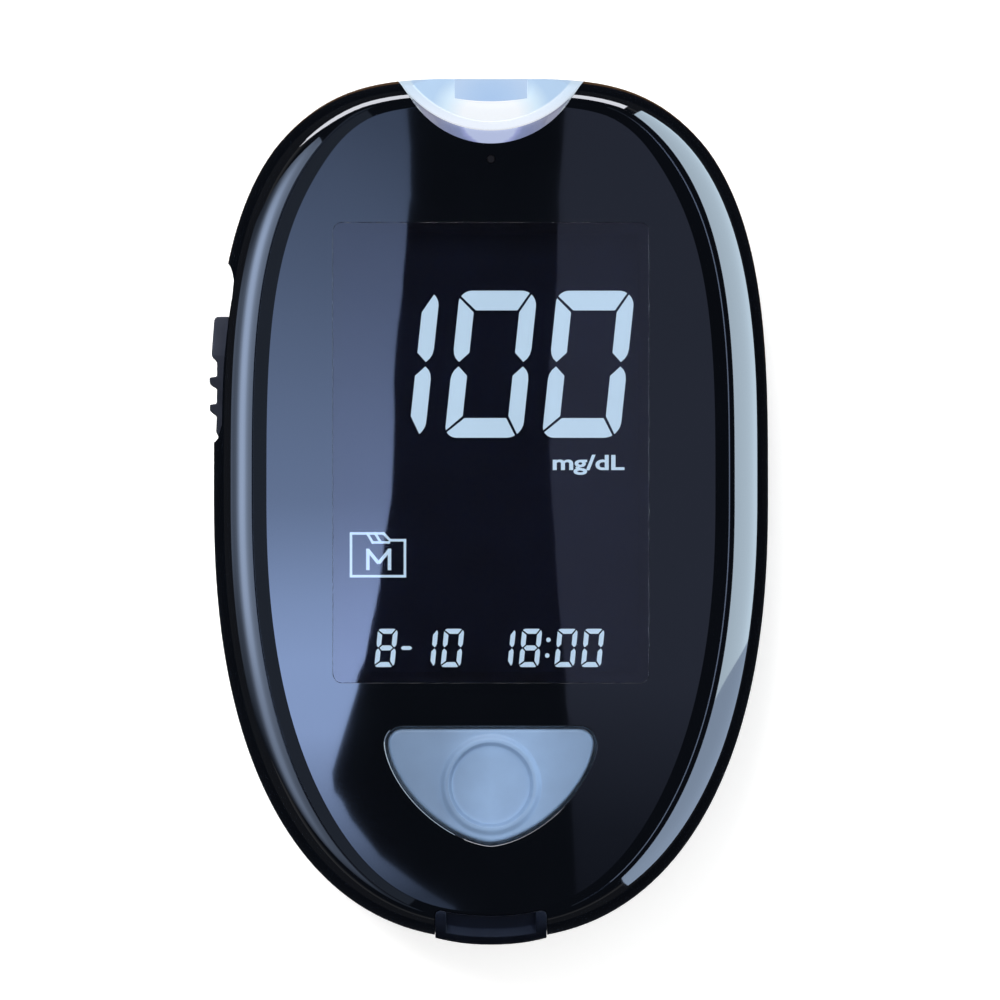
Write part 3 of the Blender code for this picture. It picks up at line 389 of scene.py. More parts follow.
def polar(points, centre):
    """An outline sampled again at even angles about a centre."""
    steps, dense = 24, []
    for (x, y), (next_x, next_y) in zip(points, points[1:] + points[:1]):
        dense += [(x + (next_x - x) * step / steps, y + (next_y - y) * step / steps)
                  for step in range(steps)]
    angles = [math.atan2(y - centre[1], x - centre[0]) for x, y in dense]
    radii = [math.hypot(x - centre[0], y - centre[1]) for x, y in dense]
    found = []
    for at in range(ring_steps):
        angle = tau * at / ring_steps
        radius = np.interp(angle, angles, radii, period=tau)
        found.append((centre[0] + radius * math.cos(angle), centre[1] + radius * math.sin(angle)))
    return found


def window(grow):
    """The display lens's outline, grown all round."""
    return rounded_rectangle(lens_high.x + grow, lens_low.y - grow, lens_high.y + grow,
                             max(1.0 * mm + grow, 0.3 * mm))


def moon(grow):
    """The main button's half moon, grown all round and sampled about its ring."""
    top, low, half, corner = -23.9 * mm, -36.4 * mm, 11.35 * mm, 1.6 * mm
    power, corner_steps, steps = 1.62, 12, 60
    radius = corner + grow
    shoulder = top + grow - radius
    depth = shoulder - low + grow
    points = []
    for side, first in ((1, 0), (-1, 1)):
        for step in range(corner_steps + 1):
            angle = math.pi / 2 * (first + step / corner_steps)
            points.append((side * (half + grow - radius) + radius * math.cos(angle),
                           shoulder + radius * math.sin(angle)))
    for step in range(1, steps):
        angle = math.pi * (1 + step / steps)
        x = math.copysign(abs(math.cos(angle)) ** (2 / power), math.cos(angle))
        points.append(((half + grow) * x, shoulder - depth * abs(math.sin(angle)) ** (2 / power)))
    return polar(points, (0, ring_y))


def opening(name, grown, depth, lip):
    """A cutting body whose mouth gives the face a rounded lip."""
    rings = [level(grown(0), depth)]
    for angle in (0, 20, 40, 60):
        angle = math.radians(angle)
        rings.append(lifted(grown(lip * (1 - math.cos(angle))), lip * (math.sin(angle) - 1)))
    # From there the mouth goes on along the lip's last slope
    mouth = grown(lip * 2.23)
    rings += [lifted(mouth, lip * 0.866), level(mouth, crest_z + overrun)]
    return skin(name, rings)


def add_node(tree, kind, values=None, **settings):
    """Adds one node. Settings are its own, and values go to its sockets, as numbers or links."""
    made = tree.nodes.new(kind)
    for name, value in settings.items():
        setattr(made, name, value)
    for socket, value in (values or {}).items():
        if isinstance(value, bpy.types.NodeSocket):
            tree.links.new(value, made.inputs[socket])
        else:
            made.inputs[socket].default_value = value
    return made


def rgba(shade, factor=1.0):
    """A linear colour made lighter or darker, as a socket takes it."""
    return (*(min(max(part * factor, 0), 1) for part in shade), 1)


def grey(amount):
    """A neutral colour of one brightness."""
    return (amount, amount, amount, 1)


def ramp(tree, share, marks):
    """Colour that follows a share, from marks of place and colour."""
    made = add_node(tree, "ShaderNodeValToRGB", {"Fac": share})
    held = made.color_ramp.elements
    for at, (where, _) in enumerate(marks):
        element = held[at] if at < 2 else held.new(where)
        element.position = where
    for element, (_, shade) in zip(held, marks):
        element.color = shade
    return made.outputs["Color"]


def share_along(tree, place, axis, first, last):
    """How far a place is along one axis, from 0 at first to 1 at last."""
    split = add_node(tree, "ShaderNodeSeparateXYZ", {"Vector": place})
    return add_node(tree, "ShaderNodeMapRange", {
        "Value": split.outputs[axis], "From Min": first, "From Max": last}).outputs["Result"]


def distance(tree, place, point):
    """How far a place is from a point."""
    return add_node(tree, "ShaderNodeVectorMath", {0: place, 1: point},
                    operation="DISTANCE").outputs["Value"]


def roughen(tree, shader, place, grain, depth):
    """Fine grain of a given size and depth in a surface's bump."""
    fine = add_node(tree, "ShaderNodeTexNoise", {"Vector": place, "Scale": 1 / grain,
                                                 "Detail": 2.0})
    bump = add_node(tree, "ShaderNodeBump", {"Height": fine.outputs["Fac"], "Distance": depth,
                                             "Strength": 1.0})
    tree.links.new(bump.outputs["Normal"], shader.inputs["Normal"])


def set_sockets(shader, **constants):
    """Sets what is the same all over a surface, by sockets' names with _ for a space."""
    for socket, value in constants.items():
        shader.inputs[socket.replace("_", " ")].default_value = value


def new_material(name):
    """An empty Principled material, its node tree, its shader and the object's own coordinates."""
    made = bpy.data.materials.new(name)
    made.use_nodes = True
    tree = made.node_tree
    place = add_node(tree, "ShaderNodeTexCoord").outputs["Object"]
    return made, tree, tree.nodes["Principled BSDF"], place


def finish(name, shade, rough, grain, depth, cloud=9 * mm, change=0.12, rough_change=0.08,
           **constants):
    """A moulded or worked surface: fine grain, and broad soft change in colour and gloss."""
    made, tree, shader, place = new_material(name)
    broad = add_node(tree, "ShaderNodeTexNoise", {
        "Vector": place, "Scale": 1 / cloud, "Detail": 3.0}).outputs["Fac"]
    tint = ramp(tree, broad, ((0.35, rgba(shade, 1 - change)), (0.65, rgba(shade, 1 + change))))
    tree.links.new(tint, shader.inputs["Base Color"])
    gloss = add_node(tree, "ShaderNodeMapRange", {
        "Value": broad, "From Min": 0.3, "From Max": 0.7,
        "To Min": max(rough - rough_change, 0), "To Max": rough + rough_change})
    tree.links.new(gloss.outputs["Result"], shader.inputs["Roughness"])
    roughen(tree, shader, place, grain, depth)
    set_sockets(shader, **constants)
    made.diffuse_color = rgba(shade)
    return made


def corner_normals(mesh):
    """Normals of a mesh's face corners, one row each."""
    held = np.zeros(len(mesh.loops) * 3)
    mesh.corner_normals.foreach_get("vector", held)
    return held.reshape(-1, 3)


def keep_skin(made, rings):
    """Gives what is left of a cut skin the even normals of the whole one, so it mirrors cleanly."""
    same_slope = 0.985
    whole = skin("whole", rings, point=True)
    bpy.ops.object.shade_smooth()
    before = corner_normals(made.data)
    modify(made, "DATA_TRANSFER", object=whole, use_loop_data=True,
           data_types_loops={"CUSTOM_NORMAL"}, loop_mapping="POLYINTERP_NEAREST")
    after = corner_normals(made.data)
    faces = np.zeros((len(made.data.loops), 3))
    for face in made.data.polygons:
        faces[face.loop_start:face.loop_start + face.loop_total] = face.normal
    close = (after * faces).sum(axis=1) > same_slope
    made.data.normals_split_custom_set(np.where(close[:, None], after, before).tolist())
    bpy.data.objects.remove(whole)


def give(made, *names):
    """Gives a piece its materials by name."""
    made.data.materials.clear()
    for name in names:
        made.data.materials.append(material(name))


def finished(made, finish_of, body, slot, *nodes, weighted=True):
    """Smooths a piece, gives it its material and body, and hides the nodes it replaces. Its slot is
    not used.
    """
    pick(made)
    bpy.ops.object.shade_smooth_by_angle(angle=smooth_angle)
    if weighted:
        modify(made, "WEIGHTED_NORMAL", keep_sharp=True, weight=80)
    if finish_of:
        give(made, finish_of)
    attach(made, body)
    if nodes:
        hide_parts(*nodes)
    start()


def dress(finish_of, *nodes):
    """Gives CAD nodes a better material by name."""
    for node in nodes:
        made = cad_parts[node]
        if not made.material_slots:
            made.data.materials.append(material(finish_of))
        for held in made.material_slots:
            held.material = material(finish_of)


def material(name):
    """A material by name, made the first time that it is asked for."""
    return bpy.data.materials.get(name) or makers[name](name)


def polished_black_abs(name):
    """ABS moulded against a mirror-polished tool: deep black, hard lacquer-like reflections."""
    return finish(name, colours().case, 0.035, 3.0 * mm, 0.00002 * mm, cloud=14 * mm, change=0.10,
                  rough_change=0.012, IOR=1.5, Coat_Weight=1.0, Coat_Roughness=0.02, Coat_IOR=1.5)


def spark_textured_abs(name):
    """ABS with a spark-eroded texture of about 0.15 mm, so its gloss is broken up evenly."""
    return finish(name, colours().back, 0.42, 0.15 * mm, 0.010 * mm, change=0.14,
                  rough_change=0.06, IOR=1.5)


def soft_touch_silicone(name):
    """Soft-touch coated silicone: matt blue-grey and fine speckle, with a painted sheen and shade:
    lighter over the middle, darker towards both sides along X.
    """
    made = finish(name, colours().button, 0.46, 0.16 * mm, 0.006 * mm, cloud=4 * mm, change=0.04,
                  rough_change=0.05, IOR=1.45, Sheen_Weight=0.1, Sheen_Roughness=0.4)
    tree = made.node_tree
    shader = tree.nodes["Principled BSDF"]
    tint = shader.inputs["Base Color"].links[0].from_socket
    place = tree.nodes["Texture Coordinate"].outputs["Object"]
    # Painted sheen and shade: a ramp across X, darkest at the left side, lightest over the middle,
    # multiplied into the colour as the lamps light the button
    full = ramp(tree, share_along(tree, place, "X", -11 * mm, 11 * mm),
                [(where, grey(amount)) for where, amount in (
                    (0, 0.54), (0.25, 0.60), (0.5, 0.94), (0.7, 0.88), (1, 0.62))])
    # The painted sheen and shade, multiplied into the base colour
    coat = add_node(tree, "ShaderNodeMixRGB", {"Fac": 1.0, "Color1": tint, "Color2": full},
                    blend_type="MULTIPLY")
    tree.links.new(coat.outputs["Color"], shader.inputs["Base Color"])
    return made


def lit_plastic(name, shades, glow_y, far, strength, base, rough, noise=0.0):
    """A plastic lit from inside: its shades follow the distance from the light below it."""
    light_z, spot_size = 22 * mm, 0.8 * mm
    made, tree, shader, place = new_material(name)
    share = add_node(tree, "ShaderNodeMapRange", {
        "Value": distance(tree, place, (0, glow_y, light_z)), "From Max": far})
    if noise:
        spots = add_node(tree, "ShaderNodeTexNoise", {"Vector": place, "Scale": 1 / spot_size})
        share = add_node(tree, "ShaderNodeMath", {
            0: spots.outputs["Fac"], 1: noise, 2: share.outputs["Result"]},
            operation="MULTIPLY_ADD")
        share = add_node(tree, "ShaderNodeMath", {0: share.outputs[0], 1: noise / 2},
                         operation="SUBTRACT")
    glow = ramp(tree, share.outputs[0], [(where, rgba(shade)) for where, shade in shades])
    tree.links.new(glow, shader.inputs["Emission Color"])
    set_sockets(shader, Emission_Strength=strength, Base_Color=base, Roughness=rough, IOR=1.58)
    return made, tree, shader, place, glow


def opal_polycarbonate(name):
    """Opal polycarbonate lit from inside: white over the lamps, pale blue away from them."""
    white, lip, shade = colour("ffffff"), colours().port, colours().port_shade
    made, tree, shader, place, bowl = lit_plastic(
        name, [(0, white), (0.4, white), (0.62, colour("dcf0fd")), (0.8, shade), (1, shade)],
        42.6 * mm, 9 * mm, 0.78, rgba(shade, 0.16), 0.3)
    on_lip = add_node(tree, "ShaderNodeMapRange", {
        "Value": distance(tree, place, (0, port_y, port_top - 0.1 * mm)),
        "From Min": 11.05 * mm, "From Max": 11.25 * mm})
    edge = ramp(tree, share_along(tree, place, "Y", 43.0 * mm, 47.5 * mm),
                ((0, rgba(colour("f6f9ff"))), (1, rgba(lip))))
    glow = add_node(tree, "ShaderNodeMixRGB", {
        "Fac": on_lip.outputs["Result"], "Color1": bowl, "Color2": edge})
    tree.links.new(glow.outputs["Color"], shader.inputs["Emission Color"])
    roughen(tree, shader, place, 0.4 * mm, 0.001 * mm)
    return made


def frosted_polycarbonate(name):
    """Frosted cap of the port's block, which hides the lamps and so stays a duller blue."""
    return lit_plastic(
        name, [(0, colour("9fbfe8")), (0.5, colour("a9c6ea")), (1, colour("b9cfec"))],
        45.0 * mm, 4.5 * mm, 0.74, rgba(colours().port_shade, 0.16), 0.4, noise=0.1)[0]


def coated_clear_acrylic(name):
    """Cast acrylic with a polished hard coat, clear and mirror-smooth."""
    return finish(name, colour("f4f2f4"), 0.02, 6.0 * mm, 0.00002 * mm, change=0.02,
                  rough_change=0.004, IOR=1.49, Transmission_Weight=1.0, Coat_Weight=1.0,
                  Coat_Roughness=0.02, Coat_IOR=1.5, Specular_Tint=(1, 0.92, 0.98, 1))


def polarised_lcd_glass(name):
    """Liquid crystal glass behind a matt polariser: nearly black, with almost no reflection."""
    return finish(name, colours().glass, 0.55, 0.3 * mm, 0.0005 * mm, change=0.10,
                  rough_change=0.05, IOR=1.5, Specular_IOR_Level=0.15)


def backlit_segments(name):
    """Backlit segments of the display, an even pale blue."""
    made, tree, shader, place = new_material(name)
    lit = colours().digits
    broad = add_node(tree, "ShaderNodeTexNoise", {"Vector": place, "Scale": 1 / (11 * mm)})
    glow = ramp(tree, broad.outputs["Fac"], ((0, rgba(lit, 0.97)), (1, rgba(lit, 1.03))))
    tree.links.new(glow, shader.inputs["Emission Color"])
    set_sockets(shader, Base_Color=rgba(lit, 0.15), Emission_Strength=1.2, Roughness=0.6)
    return made


def smoked_polycarbonate(name):
    """Clear-smoked polycarbonate bevel: the port's light leaks into it, violet by the middle."""
    bevel = colours().bevel
    return lit_plastic(
        name, [(0, bevel), (0.33, bevel), (0.36, colour("98a0d2")), (0.41, colour("7d88b1")),
               (0.56, colour("72789a")), (0.66, colour("66657f")), (0.78, colour("65607a")),
               (0.9, colour("363a52")), (1, colour("2b2733"))],
        41.2 * mm, 10.5 * mm, 0.85, rgba(bevel, 0.05), 0.22, noise=0.05)[0]


def matt_black_print(name):
    """Matt blue-black ink on the lens's seat, in the display's own tone, so it stays unseen."""
    return finish(name, colour("131a30"), 0.85, 0.1 * mm, 0.001 * mm, change=0.1, IOR=1.3)


def etched_nylon(name):
    """Glass-filled nylon from an etched tool: charcoal, dull, with a fine even grain."""
    return finish(name, colours().slider, 0.5, 0.18 * mm, 0.012 * mm, cloud=3 * mm, change=0.2,
                  rough_change=0.06, IOR=1.53)


def satin_navy_abs(name):
    """Satin ABS, navy black."""
    return finish(name, colours().flap, 0.34, 0.25 * mm, 0.003 * mm, cloud=5 * mm, change=0.2,
                  rough_change=0.06, IOR=1.5, Specular_IOR_Level=0.3)


def smoked_acrylic(name):
    """Smoked acrylic light pipe, dark brown when it is off."""
    return finish(name, colours().indicator, 0.4, 0.4 * mm, 0.001 * mm, change=0.1, IOR=1.49,
                  Specular_IOR_Level=0.1)


def moulded_silicone(name):
    """Moulded silicone rubber, dark grey and matt."""
    return finish(name, colour("2b2d33"), 0.62, 0.2 * mm, 0.006 * mm, cloud=2 * mm, IOR=1.43)


def natural_white_abs(name):
    """Natural white ABS of the parts inside."""
    return finish(name, colour("d9dcde"), 0.38, 0.3 * mm, 0.004 * mm, change=0.05, IOR=1.5)


def solder_masked_laminate(name):
    """Glass-epoxy laminate under green solder mask: slightly wavy over the copper."""
    return finish(name, colours().board, 0.32, 0.6 * mm, 0.006 * mm, cloud=1.6 * mm, change=0.22,
                  rough_change=0.06, IOR=1.5)


def moulded_black_epoxy(name):
    """Moulded black epoxy of chips and sockets."""
    return finish(name, colour("1b1b1d"), 0.55, 0.08 * mm, 0.004 * mm, change=0.15, IOR=1.55)


def nickel_plated_steel(name):
    """Nickel-plated steel, drawn or pressed: bright, with a slight haze."""
    return finish(name, colour("c9c6bf"), 0.26, 0.12 * mm, 0.002 * mm, cloud=2 * mm, change=0.08,
                  rough_change=0.07, Metallic=1.0)


def gold_plated_spring(name):
    """Thin hard gold over nickel on the spring contacts."""
    return finish(name, colour("e3bd72"), 0.22, 0.2 * mm, 0.001 * mm, cloud=2 * mm, change=0.08,
                  Metallic=1.0)


def printed_cell_film(name):
    """Printed plastic film shrunk over a cell: an even blue under a thin clear gloss."""
    return finish(name, colours().cell, 0.28, 0.5 * mm, 0.002 * mm, change=0.1, IOR=1.5,
                  Coat_Weight=0.4, Coat_Roughness=0.12)


makers = {maker.__name__: maker for maker in (
    polished_black_abs, spark_textured_abs, soft_touch_silicone, opal_polycarbonate,
    frosted_polycarbonate, coated_clear_acrylic, polarised_lcd_glass, backlit_segments,
    smoked_polycarbonate, matt_black_print, etched_nylon, satin_navy_abs, smoked_acrylic,
    moulded_silicone, natural_white_abs, solder_masked_laminate, moulded_black_epoxy,
    nickel_plated_steel, gold_plated_spring, printed_cell_film)}


def tail_bend(x):
    """How far the case's tail falls back from its furthest point, at a place along X."""
    return tail_reach * (1 - (1 - (abs(x) / half_width) ** tail_power) ** (1 / tail_power))


def flap_curve(outward, upward, reach):
    """Profile over the rim at the tail, off the skin by two distances, as far in as reach."""
    width, steps = rim_width * (1 - narrowing), 20
    end = math.acos((width - reach) / (width + outward))
    return [(tail_y + width - (width + outward) * math.cos(end * at / steps),
             rim_z + (rim_height + upward) * math.sin(end * at / steps)) for at in range(steps + 1)]


def bent(name, profile, half, corner=0):
    """A piece along X, bent as the tail is. profile gives its outline for a loss in reach."""
    marks = [0, 0.1, 0.25, 0.45, 0.7, 1] if corner else [0]
    stations = [(half - corner * mark, corner * (1 - math.sqrt(1 - (1 - mark) ** 2)))
                for mark in marks]
    stations += [((half - corner) * share, 0) for share in (0.8, 0.6, 0.4, 0.2, 0)]
    stations = [(-x, loss) for x, loss in stations] + stations[-2::-1]
    return skin(name, [[Vector((x, y + tail_bend(x) + flap_bow * (x / flap_high.x) ** 2, z))
                        for y, z in profile(loss)] for x, loss in stations])


def flap_cut(grow):
    """Body that clears the flap's pocket in both shells."""
    def profile(loss):
        points = flap_curve(-flap_wall - grow, -flap_wall_rise - grow, flap_reach + grow - loss)
        end, floor = points[-1][0], flap_low.z - flap_swing_room
        return ([(tail_y - overrun, floor), (points[0][0], floor)] + points
                + [(end, crest_z + overrun), (tail_y - overrun, crest_z + overrun)])

    return bent("flap_room", profile, flap_high.x + grow, 0.8 * mm + grow)


class METER_OT_front_shell(bpy.types.Operator):
    """Glossy front shell with its rim, domed face, openings and ejector pocket"""

    bl_idname = "meter.front_shell"
    bl_label = "Front shell"

    def execute(self, context):
        lens_play, seat_lip, ledge_width = 0.02 * mm, 0.015 * mm, 1.2 * mm
        button_play, hole_low, dot_radius = 0.28 * mm, 21.5 * mm, 0.47 * mm
        bevel_half, bevel_end = 9.35 * mm, 40.2 * mm
        case = skin("front_shell", front_rings(), point=True)
        combine(case, "DIFFERENCE", skin("room", front_room(), point=True))
        notch = skin("notch", [
            circle(radius * mm, z * mm, (0, y * mm), port_steps) for radius, y, z in (
                (12.24, 54.35, 14.9), (12.24, 54.35, 23.72), (10.53, 51.28, 25.2),
                (8.77, 48.13, 26.72))])
        seat = opening("window_seat", lambda grow: window(lens_play + grow), seat_z, seat_lip)
        hole = skin("window_hole", [level(window(-ledge_width), z) for z in (hole_low, crest_z)])
        mouth = opening("button_mouth", lambda grow: moon(button_play + grow), hole_low,
                        sizes().lip)
        dot = turned("dot", [(dot_radius, 21 * mm), (dot_radius, crest_z + overrun)],
                     (0, dot_y, 0), count=32)
        pocket = block("pocket", (-half_width - overrun, 7.9 * mm, 14.3 * mm),
                       (-28.7 * mm, 27.2 * mm, 21.3 * mm), 0.5 * mm)
        slot = block("slot", (-30 * mm, 12.4 * mm, 17.0 * mm), (-26 * mm, 21.6 * mm, 18.6 * mm))
        combine(case, "DIFFERENCE", notch, seat, hole, mouth, dot, pocket, side_groove(), slot,
                flap_cut(clearance * 2))
        give(case, "polished_black_abs", "smoked_polycarbonate", "matt_black_print")
        for face in case.data.polygons:
            middle, normal = face.center, face.normal
            inward = Vector((-middle.x, port_y - middle.y, 0)).normalized()
            on_cone = 0.4 < normal.dot(inward) < 0.95 and 0.3 < normal.z < 0.9
            near = abs(middle.x) < bevel_half and middle.y > bevel_end
            if near and on_cone and middle.z > port_top:
                face.material_index = 1
            elif abs(middle.z - seat_z) < 0.02 * mm:
                face.material_index = 2
        finished(case, None, "case", "case_gloss", "front_case")
        keep_skin(case, front_rings())
        return {"FINISHED"}


def side_groove():
    """Cutter of the shallow groove down the left of both shells, where a thumb reaches."""
    side = [p for p in outline(0.95 * mm) if p.x < 0 and 9.4 * mm < p.y < 24.6 * mm]
    side.sort(key=lambda p: p.y)
    edge = ([(-33, 7.6), (-30.55, 7.75), (-30.2, 8.1)]
            + [(p.x / mm + 0.03 * max(p.y / mm - 16, 0), p.y / mm) for p in side]
            + [(-28.4, 25.6), (-28.55, 26.4), (-28.8, 27.1), (-29.2, 27.6), (-33, 27.7)])
    return skin("side_groove", [level(in_mm(edge), z) for z in (-overrun, crest_z)])


class METER_OT_back_shell(bpy.types.Operator):
    """Satin back shell with the battery bay, screw posts and set button's hole"""

    bl_idname = "meter.back_shell"
    bl_label = "Back shell"

    def execute(self, context):
        case = skin("back_shell", back_rings(), open_top=True)
        modify(case, "SOLIDIFY", thickness=back_wall, offset=-1, use_even_offset=True)
        post_radius, outer_gap, door_gap, bead_radius = 3.0 * mm, 0.45 * mm, 0.12 * mm, 0.9 * mm
        places = [under(node) for node in case_screws]
        posts = joined([turned("post", [(post_radius, 0.4 * mm),
                                        (post_radius, back_top - 0.05 * mm)], place)
                        for place in places])
        combine(posts, "INTERSECT", skin("post_form", back_rings(lift=0.9 * mm)))
        tub = skin("tub", [level(rounded_rectangle(13.45 * mm, -38.5 * mm, 16.2 * mm, 2.5 * mm), z)
                           for z in (1.2 * mm, 14.2 * mm)])
        # A lip on the wall's rim, which keeps light from passing through the parting gap
        seam_lip = skin("seam_lip", [outline(0.9 * mm, z) for z in (9.6 * mm, 10.48 * mm)])
        combine(seam_lip, "DIFFERENCE", skin("lip_room", [
            outline(1.6 * mm, z) for z in (9 * mm, 11 * mm)]))
        combine(case, "UNION", tub, posts, seam_lip)
        room = block("room", (-11.25 * mm, -36.3 * mm, 0.5 * mm),
                     (11.25 * mm, 14.0 * mm, 13.1 * mm))
        door = skin("door_room", [level(door_outline(grow), z) for grow, z in (
            (outer_gap, -overrun), (outer_gap, -0.1 * mm), (door_gap, 0.25 * mm),
            (door_gap, 2.3 * mm))])
        tongues = joined([block("tongue_room", (x - 1.4 * mm, 12 * mm, 1.7 * mm),
                                (x + 1.4 * mm, 18.2 * mm, 4.3 * mm))
                          for x in (-tongue_x, tongue_x)])
        latch = block("latch_room", (-2.8 * mm, -37.5 * mm, 0.2 * mm),
                      (2.8 * mm, -34.3 * mm, 4.3 * mm))
        wells = joined([turned("well", [
            (2.6 * mm, -overrun), (2.45 * mm, -0.02 * mm), (2.2 * mm, 0.2 * mm), (2.2 * mm, 5 * mm),
            (1.2 * mm, 5 * mm), (1.2 * mm, back_top + overrun)], place) for place in places])
        set_hole = turned("set_hole", [
            (3.2 * mm, -overrun), (3.0 * mm, -0.02 * mm), (2.62 * mm, 0.25 * mm),
            (2.62 * mm, 3.9 * mm)], under("set_button"))
        bead = turned("bead_room", [(bead_radius, -flap_high.x - clearance),
                                    (bead_radius, flap_high.x + clearance)],
                      flap_hinge, along_x=True)
        combine(case, "DIFFERENCE", room, door, tongues, latch, wells, set_hole, bead,
                side_groove(), flap_cut(clearance * 2))
        finished(case, "spark_textured_abs", "case", "case_satin", "back_case")
        keep_skin(case, back_rings())
        return {"FINISHED"}


def door_outline(grow):
    """The battery door's outline, grown all round."""
    return rounded_rectangle(12.15 * mm + grow, -37.2 * mm - grow, 14.9 * mm + grow,
                             1.5 * mm + grow)


def under(node):
    """The place at Z = 0 below the middle of a CAD node."""
    low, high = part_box(node)
    return ((low + high) / 2).xy.to_3d()


def joined(pieces):
    """Several objects as one mesh."""
    start()
    for piece in pieces:
        piece.select_set(True)
    bpy.context.view_layer.objects.active = pieces[0]
    bpy.ops.object.join()
    return pieces[0]


def on_face(name, points, edge, low):
    """A solid whose top follows the domed face. points gives its outline for a growth."""
    steps = 4
    rings = [level(points(0), low)]
    for step in range(steps + 1):
        angle = math.pi / 2 * step / steps
        rings.append(lifted(points(edge * (math.cos(angle) - 1)), edge * (math.sin(angle) - 1)))
    top = points(-edge)
    middle = sum(y for _, y in top) / len(top)
    rings += [lifted([(share * x, middle + share * (y - middle)) for x, y in top])
              for share in (0.9, 0.75, 0.5, 0.25)]
    return skin(name, rings, point=True)


class METER_OT_display(bpy.types.Operator):
    """Clear lens, dark display behind it and its lit segments"""

    bl_idname = "meter.display"
    bl_label = "Display"

    def execute(self, context):
        lens = on_face("lens", window, sizes().lens_edge, lens_low.z)
        finished(lens, "coated_clear_acrylic", "case", "lens_clear", "display_lens")
        keep_skin(lens, front_rings())
        dress("polarised_lcd_glass", "lcd_panel")
        dress("natural_white_abs", "lcd_backlight")
        dress("moulded_black_epoxy", "lcd_contact_strip")
        lit = []
        large = dict(height=sizes().reading_height, width=8.57 * mm, flat=2.17 * mm,
                     upright=1.77 * mm, gap=0.26 * mm, slant=0.105)
        for x, shown in ((-15.88, "bc"), (-5.13, "abcdef"), (5.6, "abcdef")):
            lit += digit(shown, x * mm, 8.2 * mm, **large)
        small = dict(height=sizes().clock_height, width=2.2 * mm, flat=0.55 * mm,
                     upright=0.52 * mm, gap=0.16 * mm, slant=0.1)
        for x, shown in ((-12.85, "abcdefg"), (-8.41, "bc"), (-5.55, "abcdef"), (0.13, "bc"),
                         (3.04, "abcdefg"), (6.96, "abcdef"), (9.9, "abcdef")):
            lit += digit(shown, x * mm, -17.1 * mm, **small)
        lit.append(flat_piece([(-9.93, -15.0), (-9.72, -14.79), (-8.9, -14.79), (-8.66, -15.0),
                               (-8.9, -15.21), (-9.72, -15.21)]))
        for centre in ((6.33, -14.1), (6.2, -15.83)):
            lit.append(flat_piece([(p.x, p.y) for p in circle(0.25, 0, centre, count=20)]))
        lit += memory_icon(sizes().icon_line / mm)
        lit.append(unit_text())
        made = joined(lit)
        made.name = made.data.name = "display_segments"
        finished(made, "backlit_segments", "case", "display_segments", weighted=False)
        return {"FINISHED"}


def flat_piece(points, scale=mm):
    """A thin plate on the display, from its outline in millimetres."""
    edge = [(x * scale, y * scale) for x, y in points]
    return skin("plate", [level(edge, lcd_top + rise) for rise in (0.01 * mm, 0.04 * mm)])


def digit(shown, x, y, height, width, flat, upright, gap, slant):
    """The lit segments of one seven-segment digit, as thin plates, rounder on its right."""
    middle, tip = height / 2, upright * 0.42
    parting = upright * 0.14
    tip_y = middle - parting

    def bend(radius, first, last):
        return [(radius * (1 - math.cos(math.radians(turn))),
                 radius * (1 - math.sin(math.radians(turn))))
                for turn in np.linspace(first, last, 7)]

    def corner(radius, split):
        """The upright and the end of the bar that meet in a corner, from the corner's place."""
        half, foot = math.degrees(gap / 2 / radius), gap * 0.85
        side = [(upright, flat + foot), (upright, tip_y - upright * 0.58), (tip, tip_y),
                (upright * 0.19, tip_y - upright * 0.22), (upright * 0.06, tip_y - upright * 0.47),
                (0, tip_y - upright * 0.8)] + bend(radius, 0, split - half)
        return side, [(upright + foot, flat)] + bend(radius, split + half, 90)

    left_side, left_end = corner(upright * 0.75, 27)
    right_side, right_end = corner(upright, 54)
    bar = left_end + [(width - px, py) for px, py in reversed(right_end)]
    near = tip - parting + gap * math.sqrt(2)
    far = near + flat / 2
    forms = {
        "a": [(px, height - py) for px, py in bar],
        "b": [(width - px, height - py) for px, py in right_side],
        "c": [(width - px, py) for px, py in right_side],
        "d": bar,
        "e": left_side,
        "f": [(px, height - py) for px, py in left_side],
        "g": [(near, middle), (far, middle + flat / 2), (width - far, middle + flat / 2),
              (width - near, middle), (width - far, middle - flat / 2), (far, middle - flat / 2)]}
    return [flat_piece([(x + px + slant * py, y + py) for px, py in forms[letter]], 1)
            for letter in shown]


def memory_icon(line):
    """A folder with a tab and a letter M, drawn in strokes, in millimetres."""
    left, right, low, high, shelf, hatch = -15.41, -9.47, -7.08, -2.36, -3.11, -3.35
    strokes = [((left, low), (left, high)), ((left, high), (-11.83, high)),
               ((-11.83, high), (-11.11, shelf)), ((-11.11, shelf), (right, shelf)),
               ((right, shelf), (right, low)), ((right, low), (left, low)),
               ((-13.62, high), (-13.02, hatch)), ((-12.75, high), (-12.12, hatch)),
               ((-13.02, hatch), (-11.25, hatch))]
    letter = [((-13.55, -6.39), (-13.55, -4.06)), ((-13.5, -4.25), (-12.37, -5.65)),
              ((-12.37, -5.65), (-11.22, -4.25)), ((-11.17, -4.06), (-11.17, -6.39))]
    made = [stroke(first, last, line, line / 2) for first, last in strokes]
    made += [stroke(first, last, line * 1.35, 0.02) for first, last in letter]
    return made


def stroke(first, last, width, over):
    """A straight stroke between two places, a little longer at each end."""
    first, last = Vector(first), Vector(last)
    along = (last - first).normalized()
    side = Vector((-along.y, along.x)) * width / 2
    first, last = first - along * over, last + along * over
    return flat_piece([first + side, first - side, last - side, last + side])


